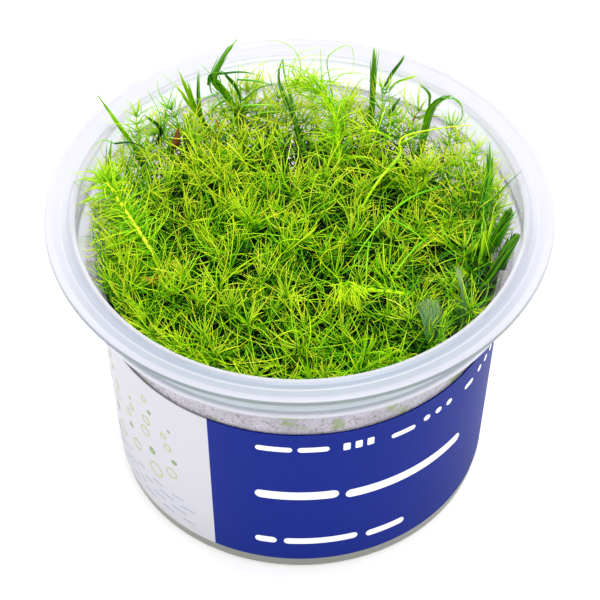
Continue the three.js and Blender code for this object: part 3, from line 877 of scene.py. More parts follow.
# Stems that stand out from the canopy, with their ways in millimetres from low in the cup
# to the tip, and how each is dressed
OUTSTANDING = [
    ("knotted_brush_shoot", "brush", [(-12, 31, 50), (-12.6, 33.2, 58), (-15, 33.5, 65),
                                      (-17.2, 33.2, 69.6), (-15.4, 35.6, 73), (-11.9, 38.4, 76.5)]),
    ("back_brush_shoot", "thin", [(0.4, 23.5, 50), (0, 26.5, 58), (-1.6, 31, 65), (-3, 34.8, 70),
                                  (-3.2, 35.6, 73)]),
    ("blunt_brush_shoot", "stub", [(14, 31.5, 50), (15, 35.8, 60), (15.2, 38.2, 66),
                                   (15.4, 39.6, 72.4)]),
    ("hooked_brush_shoot", "hook", [(24, 25, 50), (25.4, 27.5, 59), (27.2, 29.4, 65.5),
                                    (31, 29.4, 68.3)]),
    ("right_brush_shoot", "spear", [(33.5, 2, 50), (36, 4, 59), (37.4, 8.5, 65), (37.7, 14, 70.4)]),
    ("right_rim_brush_shoot", "blunt", [(34, -5, 50), (37.2, -4.6, 58), (39.4, -3, 63),
                                        (41.5, -1.2, 67.4)]),
    ("front_rim_brush_shoot", "blunt", [(33, -14, 50), (36, -13, 57), (39, -10.6, 62),
                                        (42, -8, 67)]),
    ("right_lying_brush_shoot", "glazed", [(29, -22.5, 50), (31, -22, 58), (31, -18, 62.5),
                                           (30.8, -14, 64.5)]),
    ("front_lying_brush_shoot", "wet", [(24, -31, 50), (26.5, -29.5, 58), (26, -26, 62.5),
                                        (24.8, -22, 64.5)]),
    ("left_rim_brush_shoot", "horn", [(-34, 12, 50), (-37, 12.8, 59), (-38, 14.4, 63.5),
                                      (-37.2, 17, 68.5)]),
    ("left_tall_shoot", "slender", [(-30.5, 21, 50), (-33.2, 22.4, 60), (-36.6, 23.2, 67),
                                    (-40.4, 24, 74.5)]),
    ("plume_shoot", "plume", [(-24.4, -10, 50), (-25.6, -10.6, 57), (-30, -5, 61.6),
                              (-34.2, 1.6, 63.8), (-38.8, 8.4, 66.4)]),
    ("curled_shoot", "curled", [(8, 15, 50), (7.9, 17.8, 61), (7, 23.4, 69), (4, 27, 71.6),
                                (-0.6, 30.6, 70.4)]),
    ("long_bare_stem", "bare", [(10, 1.4, 50), (11.6, 3.4, 60), (15.6, 8.2, 65), (20, 13.6, 67),
                                (20.2, 17.4, 67.6), (27, 19.2, 68.6), (35, 20, 69)]),
    ("lying_shoot", "lying", [(22.5, -15, 50), (22.4, -17.6, 58), (20, -20.4, 63), (14, -21.2, 65),
                              (8, -21.2, 66)]),
]

# The canopy in millimetres: its height in the middle and at its edge, and its radius
CANOPY_MIDDLE = 63
CANOPY_EDGE = 60.5
CANOPY_RADIUS = 38

# Where plantlets stand, in millimetres: how wide they are rooted, how many places are tried,
# how near stems may come, how much is cut off at a time where they would come nearer, how low a
# tip may end and how finely stems are compared. A stem's foot lies in its socket in the gel.
ROOTING_RADIUS = 32
CANDIDATES = 46
STEM_SPACING = 4.6
CUT_STEP = 1.5
LEAST_HEIGHT = 52
STEM_SAMPLES = 24
SOCKET_DEPTH = 2.5
SOCKET_CLEARANCE = 0.4

# Needles are painted darker by their depth in the canopy, as the shade there, down to SHADE_DEPTH,
# and less so near its open edge
SHADE_DEPTH = 8
DEEP_SHADE = 0.86
EDGE_RADIUS = 41
EDGE_WIDTH = 13

# Leafy shoots: their tone in the middle, how much it rises to the canopy's edge and, over
# BACK_REACH, to its back, as painted light there and painted shade towards the front, and once more
# where they are sparse. The outer ones have more branches, which reach out to OUTER_REACH. Distances
# are in millimetres.
MIDDLE_TONE = 0.465
EDGE_TONE = 0.24
PAINTED_LIGHT_BACK = 0.23
BACK_REACH = 40
SPARSE_TONE = 0.12
SPARSE_FROM = 23
OUTER_FROM = 24
OUTER_REACH = 42

# Above the first height tips bend over more and more, and none passes the second
SOFT_HEIGHT = 73 * MM
HIGHEST = 79 * MM


def canopy_height(x, y):
    """The height in millimetres of the canopy: a low dome with soft hummocks."""
    edge = min(1.0, math.hypot(x, y) / CANOPY_RADIUS)
    dome = CANOPY_MIDDLE + (CANOPY_EDGE - CANOPY_MIDDLE) * edge * edge
    return dome + 1.2 * math.sin(x / 7 + 1) * math.cos(y / 8)


def smooth_way(points, count):
    """Evenly spaced points on a centripetal curve through the given ones."""
    points = np.array(points, float)
    ends = [2 * points[0] - points[1], *points, 2 * points[-1] - points[-2]]
    line = []
    for before, low, high, after in zip(ends, ends[1:], ends[2:], ends[3:]):
        gaps = [math.dist(a, b) ** 0.5 for a, b in ((before, low), (low, high), (high, after))]
        low_slope = ((low - before) / gaps[0] - (high - before) / (gaps[0] + gaps[1])
                     + (high - low) / gaps[1]) * gaps[1]
        high_slope = ((high - low) / gaps[1] - (after - low) / (gaps[1] + gaps[2])
                      + (after - high) / gaps[2]) * gaps[1]
        for t in np.linspace(0, 1, 33)[:-1]:
            line.append(low + low_slope * t
                        + (-3 * low + 3 * high - 2 * low_slope - high_slope) * t ** 2
                        + (2 * low - 2 * high + low_slope + high_slope) * t ** 3)
    line.append(points[-1])
    line = np.array(line)
    run = np.concatenate([[0], np.cumsum(np.linalg.norm(np.diff(line, axis=0), axis=1))])
    wanted = np.linspace(0, run[-1], count)
    return np.stack([np.interp(wanted, run, line[:, axis]) for axis in range(3)], axis=1)


def rooted_way(points, highest=math.inf):
    """A stem's points from its socket in the gel, with none above a height."""
    gel_top = bpy.context.scene.potted_gel.top / MM
    spread = ROOTING_RADIUS / CANOPY_RADIUS
    x, y = points[0][:2]
    foot = (x * spread, y * spread, gel_top - SOCKET_DEPTH + SOCKET_CLEARANCE)
    return [foot, *[(px, py, min(pz, highest)) for px, py, pz in points]]


def least_gap(points, line):
    """The least distance from any of some points to a line of points."""
    low = line[:-1]
    along = line[1:] - low
    share = np.einsum("pld,ld->pl", points[:, None] - low, along) / (along ** 2).sum(1)
    nearest = low + np.clip(share, 0, 1)[..., None] * along
    return np.linalg.norm(points[:, None] - nearest, axis=2).min()


def leafy_ways():
    """The ways of the leafy plants on a golden-angle spiral, cut down where they would meet a
    neighbour, in the order of their names."""
    taken = [smooth_way(rooted_way(way), STEM_SAMPLES + 1) for _, _, way in OUTSTANDING]
    ways = []
    golden_angle = math.pi * (3 - math.sqrt(5))
    for seed in range(1, CANDIDATES + 1):
        share = math.sqrt((seed - 0.5) / CANDIDATES)
        angle = seed * golden_angle
        radius = (CANOPY_RADIUS - 1.5) * share + 0.7 * scatter(seed, 1)
        x = radius * math.cos(angle)
        y = radius * math.sin(angle)
        tip = canopy_height(x, y) + 1.5 * scatter(seed, 2)
        way = [(0.94 * x, 0.94 * y, 40), (x + scatter(seed, 3), y + scatter(seed, 4), 51),
               (x, y, tip)]
        highest = tip
        while highest > LEAST_HEIGHT:
            points = rooted_way(way, highest)
            samples = smooth_way(points, STEM_SAMPLES + 1)
            if all(least_gap(samples, other) >= STEM_SPACING for other in taken):
                taken.append(samples)
                ways.append(points)
                break
            highest -= CUT_STEP
    return ways


# The range of angles that are drawn by luck, all but a full turn
ANY_ANGLE = (0, 6.28)

# A stem's points, with its direction and two cross directions at each, and its length
Stem = namedtuple("Stem", "points tangents sides ups length")


def unit(vectors):
    """Vectors of length one."""
    return vectors / np.maximum(np.linalg.norm(vectors, axis=-1, keepdims=True), 1e-9)


def make_stem(way, count=40):
    """A stem's even points in metres, with its direction and two cross directions at each."""
    points = smooth_way(way, count) * MM
    tangents = unit(np.gradient(points, axis=0))
    side = np.array([1.0, 0.3, 0.0])
    sides = []
    for tangent in tangents:
        side = unit(side - tangent * (side @ tangent))
        sides.append(side)
    sides = np.array(sides)
    run = np.linalg.norm(np.diff(points, axis=0), axis=1).sum()
    return Stem(points, tangents, sides, np.cross(tangents, sides), run)


def at_run(stem, run):
    """The point, direction and cross directions at a distance along a stem."""
    place = np.clip(run / stem.length, 0, 1) * (len(stem.points) - 1)
    low = min(int(place), len(stem.points) - 2)
    share = place - low
    return [
        values[low] * (1 - share) + values[low + 1] * share
        for values in (stem.points, stem.tangents, stem.sides, stem.ups)
    ]


def sweep(centres, sides, ups, radii, tones):
    """Closed tubes with pointed tips, one for each row of centres, as vertices, triangles and
    map corners. The last centre of a row is its tip."""
    count, rings = centres.shape[0], centres.shape[1] - 1
    corners = radii.shape[-1]
    angles = 2 * np.pi * np.arange(corners) / corners
    cosines = np.cos(angles)[:, None]
    sines = np.sin(angles)[:, None]
    ring = centres[:, :-1, None] + radii[..., None] * (
        cosines * sides[:, :-1, None] + sines * ups[:, :-1, None])
    verts = np.concatenate([ring.reshape(count, -1, 3), centres[:, -1:]], axis=1)
    around = np.arange(corners)
    after = (around + 1) % corners
    level = (np.arange(rings - 1) * corners)[:, None]
    low, low_next = level + around, level + after
    high, high_next = low + corners, low_next + corners
    last = (rings - 1) * corners
    tris = np.concatenate([
        np.stack([low, low_next, high_next], -1).reshape(-1, 3),
        np.stack([low, high_next, high], -1).reshape(-1, 3),
        np.stack([last + around, last + after, np.full(corners, rings * corners)], -1),
        np.array([(0, j + 1, j) for j in range(1, corners - 1)]),
    ])
    along = np.linspace(0, 1, rings + 1)
    step_u = TONE_WIDTH / corners
    u_low = np.broadcast_to(around * step_u, low.shape)
    v_low = np.broadcast_to(along[:rings - 1, None], low.shape)
    v_high = np.broadcast_to(along[1:rings, None], low.shape)
    uv = np.concatenate([
        np.stack([u_low, v_low, u_low + step_u, v_low, u_low + step_u, v_high], -1).reshape(-1, 6),
        np.stack([u_low, v_low, u_low + step_u, v_high, u_low, v_high], -1).reshape(-1, 6),
        np.stack([around * step_u, np.full(corners, along[-2]), around * step_u + step_u,
                  np.full(corners, along[-2]), around * step_u + step_u / 2,
                  np.full(corners, along[-1])], -1),
        np.array([(0, 0.0, TONE_WIDTH, 0.0, TONE_WIDTH / 2, 0.01)] * (corners - 2)),
    ]).reshape(-1, 2)
    uv = uv[None] + np.stack([tones * (1 - TONE_WIDTH), np.zeros(count)], -1)[:, None]
    tris = tris[None] + (np.arange(count) * verts.shape[1])[:, None, None]
    return verts.reshape(-1, 3), tris.reshape(-1, 3), uv.reshape(-1, 2)


# The widths of a needle's rings from its foot on. After them comes the point at its tip.
TAPER = (0.75, 1.0, 1.0, 0.9, 0.72, 0.45)
FINE_TAPER = (0.75, 1.0, 1.0, 0.95, 0.85, 0.72, 0.55, 0.35)


def needle_tubes(rows, taper):
    """Curved needles from rows of start, direction, bend normal, turn, length, radius and tone."""
    start, direction, normal = (np.array([row[i] for row in rows]) for i in range(3))
    turn, reach, radius, tone = (np.array([row[i] for row in rows]) for i in range(3, 7))
    direction = unit(direction)
    normal = unit(normal - direction * (normal * direction).sum(1, keepdims=True))
    turn = np.where(np.abs(turn) < 0.01, 0.01, turn)
    angles = turn[:, None] * np.linspace(0, 1, len(taper) + 1)
    size = (reach / turn)[:, None, None]
    cosine = np.cos(angles)[..., None]
    sine = np.sin(angles)[..., None]
    centres = start[:, None] + size * (
        sine * direction[:, None] + (1 - cosine) * normal[:, None])
    tangents = cosine * direction[:, None] + sine * normal[:, None]
    sides = -sine * direction[:, None] + cosine * normal[:, None]
    centres = keep_inside(centres, radius[:, None])
    widths = radius[:, None, None] * np.array(taper)[None, :, None] * np.ones(3)
    return sweep(centres, sides, np.cross(tangents, sides), widths, tone)


def keep_inside(centres, margin):
    """Presses points that would pass through the wall back against it, and bends those that
    would stand too high."""
    over = np.maximum(0, centres[..., 2] - SOFT_HEIGHT)
    headroom = HIGHEST - SOFT_HEIGHT
    bent = centres.copy()
    bent[..., 2] = np.minimum(centres[..., 2], SOFT_HEIGHT) + headroom * np.tanh(over / headroom)
    return pressed_in(bent, inside_radius(bent[..., 2]) - margin - WALL_AIR)


def stem_tube(stem, profile, tone, corners=6, first=0.0):
    """One tube along a stem from a share of its way on, with a profile of shares and radii."""
    shares = np.linspace(0, 1, len(stem.points))
    keep = shares >= first
    radii = np.interp(shares[keep], [p[0] for p in profile], [p[1] for p in profile])
    widths = np.repeat(radii[:-1, None], corners, axis=1)[None]
    points = stem.points[keep]
    points = pressed_in(points, wall_radius(points[:, 2]) - radii - WALL_AIR)[None]
    return sweep(points, stem.sides[keep][None], stem.ups[keep][None], widths, np.array([tone]))


# How a stretch of stem is dressed: the gap between whorls, the needles in each, their reach, how
# much they lift at its lower and upper end, how far they bend and how unevenly, their radius,
# their tone and how much it rises along the stretch. Gap, reach and radius are shares.
Whorls = namedtuple("Whorls", "gap count reach low high turn wave radius tone spread")


def sunk(place):
    """How deep a point lies in the canopy, from 0 at its top to 1 well below it."""
    x, y, z = place / MM
    open_edge = np.clip((EDGE_RADIUS - math.hypot(x, y)) / EDGE_WIDTH, 0.3, 1)
    return float(np.clip((canopy_height(x, y) - z) / SHADE_DEPTH, 0, 1) * open_edge)


def grow_whorls(rows, stem, first, last, dress, luck, crown=True):
    """Adds whorls of needles along a stem between two shares of its length. Needles stand out low
    down and close up towards the tip, and those deep in the canopy are painted darker, as shade."""
    plant = bpy.context.scene.potted_plants
    run = first * stem.length
    end = last * stem.length
    while run < end:
        share = (run - first * stem.length) / max(end - first * stem.length, 1e-9)
        place, along, side, up = at_run(stem, run)
        count = dress.count
        turns = luck.uniform(*ANY_ANGLE) + 2 * np.pi * np.arange(count) / count
        turns += luck.normal(0, 0.2, count)
        outward = np.cos(turns)[:, None] * side + np.sin(turns)[:, None] * up
        lift = dress.low + (dress.high - dress.low) * share ** 2 + luck.normal(0, 0.3, count)
        direction = np.cos(lift)[:, None] * outward + np.sin(lift)[:, None] * along
        bend = along - np.array([0, 0, 0.35]) + luck.normal(0, 0.6, (count, 3))
        turn = dress.turn + luck.normal(0, dress.wave, count)
        close = 1 - 0.3 * share ** 3 if crown else 1.0
        reach = plant.needle * dress.reach * close * (1 + luck.normal(0, 0.2, count))
        tone = dress.tone + dress.spread * (share - 0.5) + luck.normal(0, 0.09, count)
        tone -= DEEP_SHADE * sunk(place)
        for i in range(count):
            rows.append((place, direction[i], bend[i], turn[i], max(reach[i], 1.2 * MM),
                         plant.needle_radius * dress.radius * luck.uniform(0.8, 1.2),
                         float(np.clip(tone[i], 0.0, LIVING))))
        run += plant.whorl_gap * dress.gap * (1 - 0.3 * share) * luck.uniform(0.85, 1.15)
    if crown:
        place, along, side, up = at_run(stem, end)
        for turn_about in luck.uniform(*ANY_ANGLE, dress.count):
            outward = math.cos(turn_about) * side + math.sin(turn_about) * up
            lift = luck.uniform(0.35, 1.15)
            rows.append((place, math.cos(lift) * outward + math.sin(lift) * along, along,
                         0.5 + luck.normal(0, 0.3), plant.needle * dress.reach
                         * luck.uniform(0.3, 0.7), plant.needle_radius * dress.radius,
                         min(LIVING, dress.tone + dress.spread * 0.7)))


def wisps(rows, stem, shares, count, reach, turn, radius, tone, luck, lean=(0.2, 1.0)):
    """Loose long needles that leave a stem and curl."""
    for place_share in luck.uniform(*shares, count):
        place, along, side, up = at_run(stem, stem.length * place_share)
        angle = luck.uniform(*ANY_ANGLE)
        outward = math.cos(angle) * side + math.sin(angle) * up
        lift = luck.uniform(*lean)
        direction = math.cos(lift) * outward + math.sin(lift) * along
        bend = np.array([0, 0, -0.6]) + luck.normal(0, 0.7, 3)
        rows.append((place, direction, bend, turn * luck.uniform(0.4, 1.4),
                     reach * luck.uniform(0.6, 1.25), radius,
                     float(np.clip(tone + luck.uniform(-0.08, 0.08), 0, LIVING))))


# The angle from one side branch to the next, which is near the golden angle
BRANCH_TURN = 2.4


def side_shoots(rows, parts, stem, depths, reach, tone, luck, headings=None):
    """Leafy side branches that leave a stem at some depths below its tip and rise to the
    canopy's top."""
    plant = bpy.context.scene.potted_plants
    start = luck.uniform(*ANY_ANGLE)
    for number, depth in enumerate(depths):
        foot = at_run(stem, stem.length - (depth + luck.uniform(-1, 1)) * MM)[0] / MM
        heading = start + number * BRANCH_TURN + luck.uniform(-0.3, 0.3)
        if headings is not None:
            heading = headings[number]
        outward = np.array([math.cos(heading), math.sin(heading), 0.0])
        away = reach + luck.uniform(-1.4, 2.0)
        tip = foot + outward * away
        tip[2] = canopy_height(*tip[:2]) + luck.uniform(-3.5, 1.0)
        middle = foot + outward * away * 0.6
        middle[2] += (tip[2] - foot[2]) * 0.4
        points = np.array([foot, middle, tip]) * MM
        points = pressed_in(points, inside_radius(points[:, 2]) - TWIG_ROOM)
        twig = make_stem(points / MM, 16)
        profile = [(0, plant.stem_radius * 0.6), (1, plant.stem_radius * 0.35)]
        parts.append(stem_tube(twig, profile, tone, corners=5))
        dress = Whorls(0.85, plant.needles, luck.uniform(0.7, 1.0), 0.0, 0.75,
                       luck.uniform(0.4, 1.3), 0.95, 0.92, tone + luck.uniform(-0.14, 0.14), 0.4)
        grow_whorls(rows, twig, 0.2, 1.0, dress, luck)


def leafy_parts(way, seed):
    """The meshes of one leafy plantlet: its stem, its side branches and their whorls. Those at
    the back are sparse, so that the wall shows between them."""
    plant = bpy.context.scene.potted_plants
    luck = np.random.default_rng(seed)
    stem = make_stem(way)
    x, y = stem.points[-1][:2] / MM
    sparse = y > SPARSE_FROM
    out = math.hypot(x, y)
    outer = out > OUTER_FROM
    tone = MIDDLE_TONE + EDGE_TONE * out / CANOPY_RADIUS
    # Painted light towards the back and painted shade towards the front
    tone += PAINTED_LIGHT_BACK * float(np.clip((y - x * 0.15) / BACK_REACH, -1, 1))
    tone += luck.normal(0, 0.07) + (SPARSE_TONE if sparse else 0.0)
    parts = [stem_tube(stem, [(0, plant.stem_radius), (1, plant.stem_radius * 0.5)], tone)]
    rows = []
    count = plant.needles - 2 if sparse else plant.needles
    old = Whorls(1.1, count, 0.9, 0.1, 0.3, 0.3, 0.5, 1.0, tone - 0.12, 0.1)
    fresh = Whorls(0.95, count, 0.68 if sparse else 1.0, -0.05, 0.75, 1.15, 1.05, 1.0, tone, 0.4)
    middle = 1 - 14 * MM / stem.length
    grow_whorls(rows, stem, 1 - 27 * MM / stem.length, middle, old, luck, crown=False)
    grow_whorls(rows, stem, middle, 1.0, fresh, luck)
    depths = (12, 8) if sparse else (15, 12.5, 10, 8)
    side_shoots(rows, parts, stem, depths, 6.2, tone, luck)
    if outer:
        heading = math.atan2(y, x)
        side_shoots(rows, parts, stem, (12, 10), OUTER_REACH - out, tone - 0.03, luck,
                    (heading - 0.4, heading + 0.4))
    parts.append(needle_tubes(rows, TAPER))
    strays = []
    loose = 18 if outer else 12
    stretch = 1.4
    if sparse:
        loose = 8
        stretch = 1.0
    wisps(strays, stem, (0.86, 1.0), loose, plant.needle * stretch, 2.0,
          plant.needle_radius * 0.85, tone + 0.08, luck, (0.0, 0.6))
    parts.append(needle_tubes(strays, FINE_TAPER))
    return parts


Bundle = namedtuple("Bundle", "first width depth shape tone strands spiral ragged")

# How each kind of bundled leaf is made up: where it begins as a share of its stem, half its
# width and depth in millimetres, how that swells from its foot to its tip, its tone, its
# strands and their winding, and how unevenly the strands end
BUNDLES = {
    "brush": Bundle(0.66, 0.68, 0.5, (0.7, 1.0, 0.7, 0.06), 0.3, 22, 0.5, 0.45),
    "thin": Bundle(0.6, 0.16, 0.14, (1.0, 1.0, 0.75, 0.1), 0.3, 4, 0.2, 0.2),
    "horn": Bundle(0.58, 0.5, 0.42, (0.9, 1.0, 0.75, 0.08), 0.24, 18, 0.15, 0.12),
    "stub": Bundle(0.6, 0.6, 0.5, (0.8, 1.0, 0.8, 0.4), 0.24, 22, 0.3, 0.14),
    "hook": Bundle(0.6, 0.8, 0.65, (0.7, 1.0, 0.9, 0.35), 0.27, 26, 0.4, 0.16),
    "blunt": Bundle(0.6, 0.85, 0.75, (0.7, 0.95, 1.0, 0.8), 0.16, 40, 0.5, 0.2),
    "spear": Bundle(0.56, 1.2, 0.85, (0.8, 1.0, 0.6, 0.05), 0.2, 36, 0.25, 0.4),
    "slender": Bundle(0.66, 0.42, 0.35, (0.8, 1.0, 0.7, 0.06), 0.42, 12, 0.4, 0.4),
    "wet": Bundle(0.45, 1.75, 0.3, (0.45, 0.6, 0.8, 1.15), 0.95, 64, 0.03, 0.1),
    "glazed": Bundle(0.5, 0.75, 0.3, (0.8, 1.0, 0.7, 0.2), 0.95, 24, 0.06, 0.3),
    "blade": Bundle(0.0, 1.0, 0.7, (0.6, 1.0, 0.7, 0.06), 0.3, 9, 0.3, 0.3),
    "stubby": Bundle(0.0, 0.85, 0.75, (0.8, 0.95, 1.0, 0.8), 0.16, 40, 0.5, 0.16),
    "sheet": Bundle(0.0, 1.6, 0.16, (0.6, 0.7, 0.9, 1.3), 0.95, 70, 0.02, 0.3),
}


def bundle(stem, look, size, tone, luck):
    """Leaves stuck together in one point: a core and strands of uneven length wound round it."""
    rings = 13
    span = 1 - look.first
    # Strands of a round bundle lie near its skin, and those of a flat one all over it
    inmost = 0.45 if look.depth > 0.5 * look.width else -1.0
    centres, sides, ups, radii, tones = [], [], [], [], []
    for strand in range(look.strands + 1):
        core = strand == 0
        begin = look.first + span * (0 if core else luck.uniform(-0.3, 0.4))
        finish = 1 if core else 1 - span * look.ragged * luck.uniform(0, 1) ** 1.5
        turn = luck.uniform(*ANY_ANGLE)
        off = 0 if core else luck.uniform(inmost, 1.0)
        loose = luck.uniform(0.2, 0.9) * size * MM if luck.uniform() < look.ragged else 0.0
        thick = luck.uniform(0.16, 0.27) * MM * min(1, 0.5 + 0.5 * size)
        for step, share in enumerate(np.linspace(max(begin, 0), finish, rings + 1)):
            place, along, side, up = at_run(stem, share * stem.length)
            swell = np.interp((share - look.first) / span, (0, 0.3, 0.65, 1.0), look.shape)
            swell *= size * MM
            angle = turn + look.spiral * 2 * np.pi * share
            outward = (math.cos(angle) * look.width * side
                       + math.sin(angle) * look.depth * up) * off * swell
            outward += unit(outward) * (0 if core else loose * (step / rings) ** 3)
            centres.append(place + outward)
            sides.append(side)
            ups.append(up)
            if step < rings:
                ending = np.interp(step / rings, (0, 0.3, 0.7, 1.0), (0.5, 1.0, 0.85, 0.35))
                radii.append(0.62 * look.depth * swell if core else thick * ending)
        shade = tone - 0.12 if core else tone + luck.uniform(-0.12, 0.24)
        # Limp leaves under water have tones of their own, from their glaze to the pale painted sheen
        # of the water film over them
        if tone > LIVING:
            tones.append(float(np.clip(GLAZED + 0.17 * abs(shade - tone), GLAZED, 1.0)))
        else:
            tones.append(float(np.clip(shade, 0, LIVING)))
    count = look.strands + 1
    shape = (count, rings + 1, 3)
    widths = np.repeat(np.reshape(radii, (count, rings, 1)), 3, axis=2)
    centres = np.reshape(centres, shape)
    centres = pressed_in(centres, wall_radius(centres[..., 2]) - STRAND_ROOM)
    return sweep(centres, np.reshape(sides, shape), np.reshape(ups, shape), widths,
                 np.array(tones))


Twig = namedtuple("Twig", "kind thick tone way")

